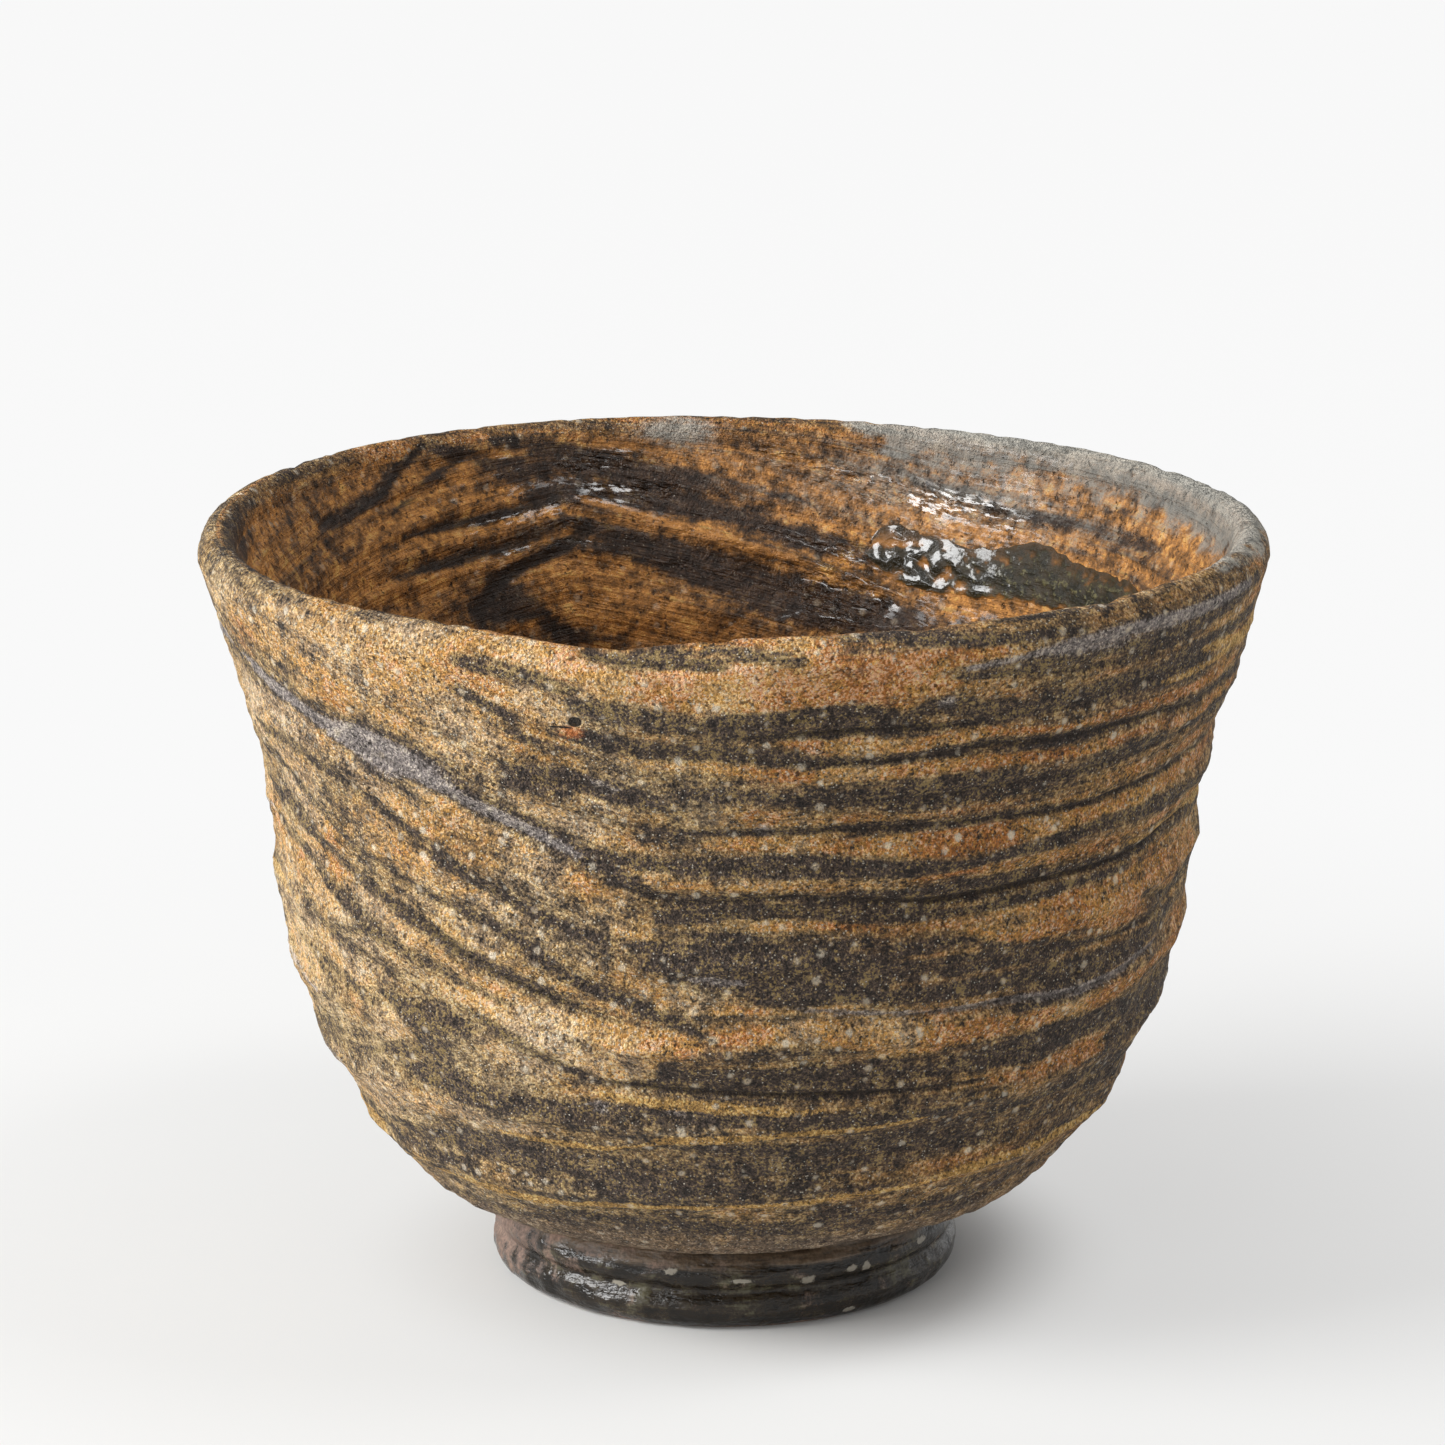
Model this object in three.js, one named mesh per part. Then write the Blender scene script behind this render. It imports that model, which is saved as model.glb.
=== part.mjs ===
// A footed tea cup of marbled stoneware. The bowl is thrown in one piece, a separately made ring of dark
// clay is luted under it with slip, and wood ash has melted to glass round the foot and in a furrow of
// the inside wall. Millimetres, +Z up. The table is Z = 0, the bowl's axis is Z and its front faces -Y.

import * as THREE from "three";

// Bowl, outside: a radius and a height above the table for each level of the profile
const SEAT_RADIUS = 28;
const BASE_RADIUS = 37.2;
const BASE_HEIGHT = 14.6;
const HIP_RADIUS = 44.6;
const HIP_HEIGHT = 24.6;
const BELLY_RADIUS = 50.4;
const BELLY_HEIGHT = 40;
const WAIST_RADIUS = 53.1;
const WAIST_HEIGHT = 60;
const RIM_RADIUS = 60.2;
const RIM_HEIGHT = 87.4;

// Bowl, wall: its thickness, the flat of the floor, the rounding of the lip and the flare below it
const WALL_THICKNESS = 5.6;
const FLOOR_THICKNESS = 6.5;
const FLOOR_RADIUS = 20;
const LIP_THICKNESS = 4.9;
const LIP_DROP = 3.4;
const FLARE_SETBACK = 3.3;
const FLARE_DROP = 10;

// Marks of the hand: the throwing spiral, the saddle of the rim and the nick in its front
const SPIRAL_PITCH = 9.5;
const SPIRAL_DEPTH = 0.8;
const SPIRAL_START = 5.2;
const RIM_SWAY = 0.45;
const RIM_SWAY_ANGLE = -45;
const RIM_DIP = 1.3;
const RIM_DIP_ANGLE = -104;
const RIM_DIP_WIDTH = 9;

// Foot ring: two soft beads with a groove between them, a drawn-in neck and a plain bore
const FOOT_RADIUS = 26.1;
const FOOT_EDGE = 0.8;
const FOOT_BEAD_LOW = 2.5;
const FOOT_GROOVE_HEIGHT = 4.6;
const FOOT_GROOVE_DEPTH = 0.35;
const FOOT_BEAD_HIGH = 6.4;
const FOOT_NECK_RADIUS = 25.4;
const FOOT_NECK_HEIGHT = 8.8;
const FOOT_HEIGHT = 9.9;
const FOOT_BORE_RADIUS = 20;
const FOOT_BORE_FLARE = 1.2;
const FOOT_OFFSET = -1;

// Slip between the foot and the bowl, and the bead of it that was squeezed out
const SLIP_THICKNESS = 0.6;
const SLIP_BEAD = 1.6;
const SLIP_SETBACK = 0.8;

// Ash glass: its thickness, where it stops on the foot, and the run inside the wall
const GLAZE_GAP = 0.3;
const FOOT_GLAZE_THICKNESS = 0.5;
const FOOT_GLAZE_BARE_EDGE = 0.7;
const FOOT_GLAZE_TOP_MARGIN = 0.5;
const RUN_ANGLE = 45;
const RUN_LENGTH = 44;
const RUN_WIDTH = 8.2;
const RUN_DROP = 11.7;
const RUN_THICKNESS = 0.9;
const RUN_EDGE_SHARE = 0.35;

// Fineness of the surfaces
const BOWL_SEGMENTS = 64;
const OUTSIDE_STEPS = 28;
const LIP_STEPS = 6;
const INSIDE_STEPS = 26;
const FOOT_SEGMENTS = 48;
const FOOT_STEPS = 12;
const BEAD_STEPS = 4;
const RUN_STEPS_ALONG = 20;
const RUN_STEPS_ACROSS = 6;

const SEAT_HEIGHT = FOOT_HEIGHT + SLIP_THICKNESS;
const FLOOR_HEIGHT = SEAT_HEIGHT + FLOOR_THICKNESS;
const LIP_HEIGHT = RIM_HEIGHT - LIP_DROP;
const RUN_LEVEL = LIP_HEIGHT - RUN_DROP;
const { degToRad, smoothstep } = THREE.MathUtils;

// A point of a profile: radius from the axis and height
function level(radius, height) {
  return new THREE.Vector2(radius, height);
}

// Smooth profile through the given levels, without overshoot between uneven steps
function profileThrough(levels) {
  const points = levels.map(({ x, y }) => new THREE.Vector3(x, y, 0));
  return new THREE.CatmullRomCurve3(points, false, "centripetal");
}

// The profile's point at share t, moved to the right of its direction by the given distance
function offsetLevel(profile, t, distance) {
  const point = profile.getPoint(t);
  const along = profile.getTangent(t);
  return level(point.x + along.y * distance, point.y - along.x * distance);
}

// Points of a profile between two shares of it, moved sideways
function profilePoints(profile, steps, distance = 0, from = 0, to = 1) {
  const share = (i) => from + ((to - from) * i) / steps;
  return Array.from({ length: steps + 1 }, (_, i) => offsetLevel(profile, share(i), distance));
}

// Share of a rising profile at which it reaches a height
function shareAtHeight(profile, height) {
  let low = 0;
  let high = 1;
  for (let i = 0; i < 40; i += 1) {
    const middle = (low + high) / 2;
    if (profile.getPoint(middle).y < height) low = middle;
    else high = middle;
  }
  return low;
}

// A profile turned about Z, its first column facing the front
function turned(profile, segments) {
  return new THREE.LatheGeometry(profile, segments).rotateX(Math.PI / 2);
}

// Every vertex of a geometry moved in place
function reshape(geometry, move) {
  const position = geometry.attributes.position;
  const point = new THREE.Vector3();
  for (let i = 0; i < position.count; i += 1) {
    move(point.fromBufferAttribute(position, i), i);
    position.setXYZ(i, point.x, point.y, point.z);
  }
  geometry.computeVertexNormals();
  return geometry;
}

// Finger furrows of the throwing spiral: round hollows that meet in crests, one pitch apart
function spiralRelief(angle, height) {
  const turns = (height - SPIRAL_START) / SPIRAL_PITCH - angle / (2 * Math.PI);
  const across = 2 * (turns - Math.floor(turns)) - 1;
  return SPIRAL_DEPTH * (across * across - 1 / 3);
}

// Height of the rim above its mean level: a gentle saddle with one nick
function rimWave(angle) {
  const saddle = RIM_SWAY * Math.cos(2 * (angle - degToRad(RIM_SWAY_ANGLE)));
  const away = angle - degToRad(RIM_DIP_ANGLE);
  const wrapped = Math.atan2(Math.sin(away), Math.cos(away));
  return saddle - RIM_DIP * Math.exp(-((wrapped / degToRad(RIM_DIP_WIDTH)) ** 2));
}

// A point of the regular bowl moved to where the potter's hand left it. Fingers press both faces of the
// wall, so the crests stand out of the clay on either face: facing is 1 outside and -1 inside.
function handMade(point, facing) {
  const angle = Math.atan2(point.y, point.x);
  const radius = Math.hypot(point.x, point.y);
  const height = point.z;
  const onWall = smoothstep(radius, FLOOR_RADIUS, BASE_RADIUS);
  const belowLip = 1 - smoothstep(height, WAIST_HEIGHT, LIP_HEIGHT);
  const relief = facing * spiralRelief(angle, height) * onWall * belowLip;
  const drift = FOOT_OFFSET * (1 - smoothstep(height, SEAT_HEIGHT, HIP_HEIGHT));
  point.x += relief * Math.cos(angle) + drift;
  point.y += relief * Math.sin(angle);
  point.z += rimWave(angle) * smoothstep(height, WAIST_HEIGHT, RIM_HEIGHT);
}

// Profiles of the bowl: the outside rising to the lip, and the inside falling to the floor
const outsideLevels = [
  level(SEAT_RADIUS, SEAT_HEIGHT),
  level(BASE_RADIUS, BASE_HEIGHT),
  level(HIP_RADIUS, HIP_HEIGHT),
  level(BELLY_RADIUS, BELLY_HEIGHT),
  level(WAIST_RADIUS, WAIST_HEIGHT),
  level(RIM_RADIUS - FLARE_SETBACK, LIP_HEIGHT - FLARE_DROP),
  level(RIM_RADIUS, LIP_HEIGHT),
];
const outside = profileThrough(outsideLevels);
const wallShares = outsideLevels.map((_, i) => i / (outsideLevels.length - 1)).slice(1, -1).reverse();
const inside = profileThrough([
  level(RIM_RADIUS - LIP_THICKNESS, LIP_HEIGHT),
  ...wallShares.map((t) => offsetLevel(outside, t, -WALL_THICKNESS)),
  level(FLOOR_RADIUS, FLOOR_HEIGHT),
  level(0, FLOOR_HEIGHT),
]);
const insidePoints = profilePoints(inside, INSIDE_STEPS);

// Radius of the regular inside wall at a height
function insideRadius(height) {
  const below = insidePoints.findIndex((point) => point.y <= height);
  const upper = insidePoints[below - 1];
  const lower = insidePoints[below];
  return THREE.MathUtils.mapLinear(height, lower.y, upper.y, lower.x, upper.x);
}

function bowlGeometry() {
  const lipCentre = RIM_RADIUS - LIP_THICKNESS / 2;
  const lip = new THREE.EllipseCurve(lipCentre, LIP_HEIGHT, LIP_THICKNESS / 2, LIP_DROP, 0, Math.PI);
  const outer = [level(0, SEAT_HEIGHT), ...profilePoints(outside, OUTSIDE_STEPS)];
  const profile = [...outer, ...lip.getPoints(LIP_STEPS).slice(1, -1), ...insidePoints];
  const facing = (i) => (i % profile.length < outer.length ? 1 : -1);
  return reshape(turned(profile, BOWL_SEGMENTS), (point, i) => handMade(point, facing(i)));
}

// Outside of the foot ring from the table to its top
const footOutside = profileThrough([
  level(FOOT_RADIUS - FOOT_EDGE, 0),
  level(FOOT_RADIUS, FOOT_BEAD_LOW),
  level(FOOT_RADIUS - FOOT_GROOVE_DEPTH, FOOT_GROOVE_HEIGHT),
  level(FOOT_RADIUS, FOOT_BEAD_HIGH),
  level(FOOT_NECK_RADIUS, FOOT_NECK_HEIGHT),
  level(FOOT_NECK_RADIUS, FOOT_HEIGHT),
]);

function footRingGeometry() {
  const boreMouth = level(FOOT_BORE_RADIUS + FOOT_BORE_FLARE, 0);
  const profile = [
    boreMouth,
    ...profilePoints(footOutside, FOOT_STEPS),
    level(FOOT_BORE_RADIUS, FOOT_HEIGHT),
    boreMouth,
  ];
  return turned(profile, FOOT_SEGMENTS);
}

function lutingSlipGeometry() {
  const inner = FOOT_BORE_RADIUS + SLIP_SETBACK;
  const outer = FOOT_NECK_RADIUS + SLIP_BEAD;
  const round = SLIP_THICKNESS / 2;
  const beadCentre = FOOT_HEIGHT + round;
  const bead = new THREE.EllipseCurve(outer - round, beadCentre, round, round, -Math.PI / 2, Math.PI / 2);
  const profile = [
    level(inner, FOOT_HEIGHT),
    level(outer - round, FOOT_HEIGHT),
    ...bead.getPoints(BEAD_STEPS).slice(1, -1),
    level(outer - round, SEAT_HEIGHT),
    level(inner, SEAT_HEIGHT),
    level(inner, FOOT_HEIGHT),
  ];
  return turned(profile, FOOT_SEGMENTS);
}

function footGlazeGeometry() {
  const from = shareAtHeight(footOutside, FOOT_GLAZE_BARE_EDGE);
  const to = shareAtHeight(footOutside, FOOT_HEIGHT - FOOT_GLAZE_TOP_MARGIN);
  const outer = profilePoints(footOutside, FOOT_STEPS, GLAZE_GAP + FOOT_GLAZE_THICKNESS, from, to);
  const inner = profilePoints(footOutside, FOOT_STEPS, GLAZE_GAP, from, to);
  return turned([...outer, ...inner.reverse(), outer[0]], FOOT_SEGMENTS);
}

// A box laid along a furrow of the inside wall: blunt at its ends, and thickest in the middle
function wallGlazeGeometry() {
  const reach = RUN_LENGTH / 2 / insideRadius(RUN_LEVEL);
  const rounded = (share) => RUN_EDGE_SHARE + (1 - RUN_EDGE_SHARE) * share;
  const box = new THREE.BoxGeometry(2, 2, 1, RUN_STEPS_ALONG, RUN_STEPS_ACROSS, 1);
  return reshape(box, (point) => {
    const { x: along, y: across, z: depth } = point;
    const angle = degToRad(RUN_ANGLE) - along * reach;
    const halfWidth = (RUN_WIDTH / 2) * rounded(Math.sqrt(Math.max(0, 1 - along * along)));
    const swell = rounded((1 - along * along) * (1 - across * across));
    const inset = GLAZE_GAP + (depth + 0.5) * RUN_THICKNESS * swell;
    const height = RUN_LEVEL + across * halfWidth;
    const radius = insideRadius(height);
    handMade(point.set(radius * Math.cos(angle), radius * Math.sin(angle), height), -1);
    const shrink = 1 - inset / Math.hypot(point.x, point.y);
    point.set(point.x * shrink, point.y * shrink, point.z);
  });
}

// A named piece with its own finish, set on the bowl's axis or on the foot's
function piece(name, geometry, color, roughness, centreX = 0) {
  const mesh = new THREE.Mesh(geometry, new THREE.MeshStandardMaterial({ color, roughness, metalness: 0 }));
  mesh.name = name;
  mesh.position.x = centreX;
  return mesh;
}

const cup = new THREE.Group();
cup.name = "footed_cup";
cup.add(
  piece("bowl", bowlGeometry(), 0x8c7357, 0.85),
  piece("luting_slip", lutingSlipGeometry(), 0x6c5a4b, 0.8, FOOT_OFFSET),
  piece("foot_ring", footRingGeometry(), 0x5a4a42, 0.75, FOOT_OFFSET),
  piece("foot_glaze", footGlazeGeometry(), 0x39362f, 0.25, FOOT_OFFSET),
  piece("wall_glaze", wallGlazeGeometry(), 0x544c42, 0.12),
);

export default cup;
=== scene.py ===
"""Footed tea cup: a hand-thrown bowl of marbled stoneware, luted on a dark foot ring, with ash glass.

Each piece is a surface on a grid. A profile is turned round the cup's axis, then pushed in and out by the
marks of throwing, by furrows that follow the streaks of the two clays, and by the sand in the clay.
"""
import math
from types import SimpleNamespace

import bpy
import numpy as np
from bpy.props import FloatProperty, FloatVectorProperty, PointerProperty
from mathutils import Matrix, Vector


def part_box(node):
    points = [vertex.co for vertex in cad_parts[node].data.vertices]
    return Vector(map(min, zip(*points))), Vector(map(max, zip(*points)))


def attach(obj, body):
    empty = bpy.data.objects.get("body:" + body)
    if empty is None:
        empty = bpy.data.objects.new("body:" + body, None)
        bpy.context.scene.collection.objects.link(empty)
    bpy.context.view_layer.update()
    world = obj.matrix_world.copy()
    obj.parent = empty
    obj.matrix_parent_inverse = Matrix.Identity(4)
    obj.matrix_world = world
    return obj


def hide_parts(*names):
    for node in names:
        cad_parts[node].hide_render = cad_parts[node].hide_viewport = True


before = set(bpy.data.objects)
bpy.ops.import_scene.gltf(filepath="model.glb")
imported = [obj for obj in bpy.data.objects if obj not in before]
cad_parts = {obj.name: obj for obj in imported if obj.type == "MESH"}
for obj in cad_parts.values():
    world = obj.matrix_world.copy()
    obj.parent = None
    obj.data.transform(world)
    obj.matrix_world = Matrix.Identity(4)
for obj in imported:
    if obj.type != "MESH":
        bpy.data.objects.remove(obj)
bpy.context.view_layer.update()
BOWL_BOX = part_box("bowl")
FOOT_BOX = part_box("foot_ring")
FOOT_CENTRE = (FOOT_BOX[0].x + FOOT_BOX[1].x) / 2

bl_info = {
    "name": "Footed cup",
    "version": (1, 0, 0),
    "blender": (4, 5, 0),
    "location": "3D View > Sidebar > Cup",
    "description": "Makes a hand-thrown footed cup of marbled stoneware",
    "category": "Add Mesh",
}

MM = 0.001

# Grid sizes of the pieces
BOWL_COLUMNS = 288
UNDERSIDE_ROWS = 3
OUTSIDE_ROWS = 224
LIP_ROWS = 16
INSIDE_ROWS = 100
RING_COLUMNS = 256
FOOT_ROWS = 96
SLIP_ROWS = 64
COAT_ROWS = 44
COAT_BACK_ROWS = 12
RUN_ROWS = 150
RUN_COLUMNS = 64

# Points of the smooth curves that the pieces and streaks are read from
BOWL_CURVE = 500
FOOT_CURVE = 120
RUN_CURVE = 200
STREAK_CURVE = 80

# Layers of clay: the levels in mm between which their lift sets in, how little a flow changes along
# them, the height in mm that they are painted as shares of, and how many streaks the far side has
LIFT_FADE = (30, 42)
FLOW_SHARE = 0.06
LAYER_SCALE = 100
FAR_STREAKS = 62

# Furrows along the streaks: their breadth in mm, and how much deeper than written they are inside
OUTSIDE_FURROW = 0.42
INSIDE_FURROW = 0.85
INSIDE_DEEPER = 1.9

# In mm, the depth of the fold at the nick and of ripples in melted ash, and how far the lip draws in
FOLD_DEPTH = 0.6
RIPPLE_DEPTH = 0.13
LIP_SETBACK = 0.32

# Lamps: name, width and height in metres, and place
LAMPS = (
    ("key", 0.62, 0.62, (-1.025, -0.3125, 0.65)),
    ("top", 0.3, 0.3, (0.42, -0.12, 0.9)),
    ("catch", 0.55, 0.06, (-0.62, -0.86, 0.36)),
)
# The point that the lamps face in metres, and the width of the camera's sensor in mm
LAMP_AIM = (0, 0, 0.045)
SENSOR_WIDTH = 36

# Rings on the floor, in mm from the cup's axis, across which a painted white glow first lightens the
# shadow and then covers the paper
SHADOW_EDGE = (21, 47)
PAPER_EDGE = (47, 230)

# Streaks of the outside: half width in mm, strength, depth of furrow in mm, tone, and a line of
# azimuth in degrees against height in mm. Azimuth -90 faces the viewer, 0 is at the right.
OUTSIDE_STREAKS = (
    # light bands
    (3.0, 0.90, 0.00, "tan", ((-112, 83.6), (-90, 82.5), (-75, 81.6), (-58, 82.8))),
    (0.6, 0.90, -0.1, "tan", ((-90, 76.0), (-74, 75.0), (-62, 74.7), (-45, 74.6), (-18, 75.4))),
    (1.0, 1.00, -0.1, "tan", ((-97, 73.3), (-82, 72.5), (-69, 71.8), (-55, 71.2), (-40, 71.4), (-14, 72.4))),
    (0.7, 0.55, 0.00, "tan", ((-90, 67.6), (-77, 67.0), (-60, 66.6), (-40, 66.6), (-18, 67.6))),
    (1.2, 0.90, -0.1, "tan", ((-94, 64.2), (-77, 63.7), (-60, 63.2), (-44, 63.3), (-18, 64.4))),
    (0.7, 0.75, 0.00, "tan", ((-102, 60.2), (-85, 59.5), (-70, 59.0), (-55, 59.0), (-18, 60.3))),
    (0.7, 0.55, 0.00, "tan", ((-88, 54.5), (-72, 54.0), (-56, 53.9), (-36, 54.4))),
    (1.7, 0.90, 0.00, "tan", ((-62, 52.4), (-54, 51.0), (-44, 50.9), (-20, 50.8))),
    (2.0, 0.60, 0.00, "tan", ((-60, 53.4), (-40, 53.0), (-12, 53.4))),
    (1.2, 0.80, -0.1, "tan", ((-99, 42.6), (-80, 42.6), (-70, 41.2), (-55, 40.5), (-38, 41.0), (-12, 41.8))),
    (0.9, 0.60, 0.00, "tan", ((-64, 34.4), (-43, 34.8), (-18, 35.2))),
    (0.9, 0.95, -0.1, "tan",
     ((-148, 72.6), (-135, 69.3), (-127, 67.0), (-120, 64.6), (-112, 61.2), (-102, 58.2))),
    (2.3, 0.95, -0.1, "tan", ((-126, 45.6), (-113, 43.5), (-105, 41.7), (-94, 41.3))),
    (2.0, 0.90, 0.00, "tan", ((-124, 42.5), (-114, 40.6), (-106, 38.8), (-99, 38.2))),
    (1.8, 0.70, 0.00, "tan", ((-172, 24.0), (-150, 27.0), (-130, 29.5), (-116, 29.0))),
    # dark streaks that fall from the left edge
    (2.1, 1.00, 0.25, "iron", ((-168, 77.4), (-148, 74.8), (-128, 69.5), (-109, 63.2), (-98, 57.8))),
    (1.5, 1.00, 0.00, "smoke", ((-158, 76.4), (-138, 72.2), (-120, 67.0), (-107, 62.4))),
    (0.9, 0.90, 0.20, "iron", ((-161, 68.7), (-142, 67.6), (-130, 62.3), (-113, 55.0), (-101, 52.2))),
    (0.6, 0.85, 0.15, "iron", ((-163, 65.3), (-152, 63.6), (-140, 59.2), (-130, 56.0), (-113, 51.6))),
    (0.8, 0.90, 0.20, "iron", ((-167, 60.2), (-156, 59.4), (-141, 55.5), (-123, 49.5), (-103, 43.6))),
    (0.6, 0.85, 0.15, "iron", ((-164, 57.4), (-142, 51.9), (-120, 45.0))),
    (0.6, 0.80, 0.12, "iron", ((-156, 50.7), (-140, 46.0), (-125, 41.4))),
    (0.5, 0.70, 0.10, "iron", ((-153, 42.7), (-143, 41.1), (-134, 40.2))),
    (0.7, 0.85, 0.15, "iron", ((-148, 48.3), (-138, 49.4), (-127, 46.5), (-116, 44.2))),
    (0.9, 0.95, 0.22, "iron", ((-134, 53.7), (-122, 49.2), (-112, 46.0), (-103, 43.4))),
    (0.8, 0.90, 0.20, "iron", ((-121, 53.7), (-110, 49.6), (-101, 46.0), (-92, 42.0))),
    (1.3, 0.85, 0.10, "iron", ((-142, 41.8), (-130, 40.6), (-121, 40.8), (-108, 36.8))),
    (1.9, 0.65, 0.10, "iron", ((-174, 30.0), (-152, 33.1), (-143, 34.1), (-128, 37.3))),
    (1.3, 0.75, 0.00, "iron", ((-120, 84.0), (-112, 82.4), (-106, 80.8))),
    (1.0, 0.75, 0.05, "iron", ((-120, 80.8), (-114, 77.6), (-109.5, 73.6))),
    (1.6, 0.90, 0.25, "iron", ((-116, 70.8), (-108, 70.5), (-102, 69.6), (-96, 67.4))),
    # dark streaks round the right
    (1.0, 0.85, 0.05, "iron", ((-107, 79.4), (-100, 78.6), (-93, 78.3))),
    (1.3, 0.95, 0.15, "iron", ((-107, 76.6), (-98, 75.0), (-90, 75.3), (-80, 73.8))),
    (1.2, 0.95, 0.20, "iron", ((-95, 78.1), (-86, 78.5), (-77, 78.6), (-71, 77.2))),
    (1.2, 0.95, 0.20, "iron",
     ((-75, 77.4), (-69, 78.8), (-63, 78.2), (-52, 77.7), (-40, 78.4), (-12, 81.0))),
    (0.4, 0.95, 0.35, "iron", ((-92, 77.0), (-80, 76.9), (-60, 76.4))),
    (0.5, 0.95, 0.30, "iron", ((-90, 74.4), (-74, 73.9), (-56, 73.3), (-29, 73.5), (-8, 74.4))),
    (1.3, 0.98, 0.25, "iron", ((-97, 70.3), (-82, 69.6), (-69, 69.4), (-52, 69.2), (-39, 69.5), (-6, 71.2))),
    (0.5, 0.95, 0.30, "iron", ((-98, 66.1), (-82, 65.7), (-66, 64.9), (-41, 65.0), (-10, 66.6))),
    (1.1, 0.95, 0.20, "iron", ((-109, 63.4), (-98, 62.0), (-86, 61.9), (-61, 60.8))),
    (0.8, 0.90, 0.20, "iron", ((-67, 60.6), (-50, 61.1), (-27, 61.8), (-4, 62.8))),
    (0.9, 1.00, 0.40, "iron",
     ((-105, 60.0), (-97, 57.8), (-85, 57.8), (-65, 57.4), (-49, 57.1), (-2, 59.0))),
    (1.0, 0.90, 0.15, "iron", ((-100, 56.4), (-81, 55.9), (-60, 55.2), (-36, 55.6))),
    (3.4, 0.95, 0.00, "iron", ((-102, 52.4), (-90, 50.5), (-71, 49.0))),
    (0.8, 0.85, 0.00, "iron", ((-72, 51.8), (-63, 51.8), (-56, 50.0))),
    (0.5, 0.90, 0.25, "iron", ((-58, 49.3), (-44, 48.2), (-26, 48.3), (-4, 49.4))),
    (1.2, 0.85, 0.12, "iron", ((-78, 46.2), (-63, 46.4), (-47, 45.6), (-20, 47.0))),
    (1.3, 0.70, 0.00, "iron", ((-78, 49.8), (-66, 49.0), (-42, 47.2))),
    (0.45, 0.9, 0.30, "smoke", ((-84, 44.8), (-61, 43.7), (-43, 43.5), (-16, 45.0))),
    (1.6, 0.92, 0.10, "iron", ((-100, 37.2), (-80, 37.5), (-62, 36.6), (-44, 37.2), (-10, 39.0))),
    (0.45, 1.0, 0.40, "iron", ((-108, 36.5), (-94, 35.9), (-83, 35.5), (-56, 34.2))),
    (0.8, 0.80, -0.10, "gold", ((-108, 34.7), (-94, 34.1), (-78, 33.3))),
    (1.5, 0.90, 0.10, "iron", ((-138, 33.1), (-112, 32.0), (-97, 32.5), (-60, 31.5))),
    (0.45, 0.9, -0.15, "gold", ((-126, 29.0), (-109, 27.5), (-97, 29.4), (-64, 31.2))),
    (3.2, 0.62, 0.00, "iron", ((-154, 22.4), (-130, 24.0), (-89, 25.4), (-52, 28.5), (-10, 30.6))),
    (0.5, 1.00, -0.20, "gold", ((-152, 18.8), (-112, 19.5), (-76, 21.6), (-55, 23.0), (-16, 24.2))),
    (2.4, 0.58, 0.00, "iron", ((-140, 15.4), (-90, 16.6), (-36, 18.6))),
    # marks under the lip
    (1.3, 0.90, 0.35, "iron", ((-106, 86.3), (-100, 85.6), (-95, 85.3), (-90, 84.2))),
    (0.9, 0.80, 0.10, "iron", ((-93, 87.0), (-88, 86.0), (-83, 85.2))),
    (0.8, 0.80, 0.00, "iron", ((-80, 86.9), (-68, 86.2), (-52, 85.8))),
    (1.1, 0.90, 0.10, "smoke", ((-67, 82.5), (-60, 83.3), (-46, 84.1), (-20, 84.8))),
    (1.6, 0.75, 0.00, "iron", ((-69, 82.3), (-58, 83.0), (-46, 83.8), (-16, 84.6))),
    (0.6, 0.85, 0.20, "iron", ((-68, 81.4), (-53, 81.4), (-32, 82.4))),
    # the fold at the nick and small grey spots
    (0.45, 0.9, -0.35, "tan", ((-111, 86.6), (-104, 85.2), (-98, 83.8))),
    (0.9, 0.7, 0.15, "smoke", ((-105.6, 70.2), (-102.4, 69.8))),
    (0.7, 0.7, 0.15, "smoke", ((-88.4, 66.2), (-85.6, 66.0))),
    (0.7, 0.7, 0.15, "smoke", ((-69.4, 79.0), (-66.6, 79.1))),
    (0.7, 0.7, 0.15, "smoke", ((-95.5, 49.2), (-88.5, 48.8))),
    (0.8, 0.7, 0.15, "smoke", ((-108.8, 33.2), (-105.2, 32.8))),
    (0.7, 0.7, 0.15, "smoke", ((-98.8, 33.2), (-95.2, 33.0))),
)

# The crest where two folds of clay meet on the inside: azimuth in degrees against height in mm
RIDGE_LINE = ((113.5, 79.3), (104, 76.7), (97, 74.6), (89, 72.5), (80, 70.7), (66, 67.8))

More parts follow.
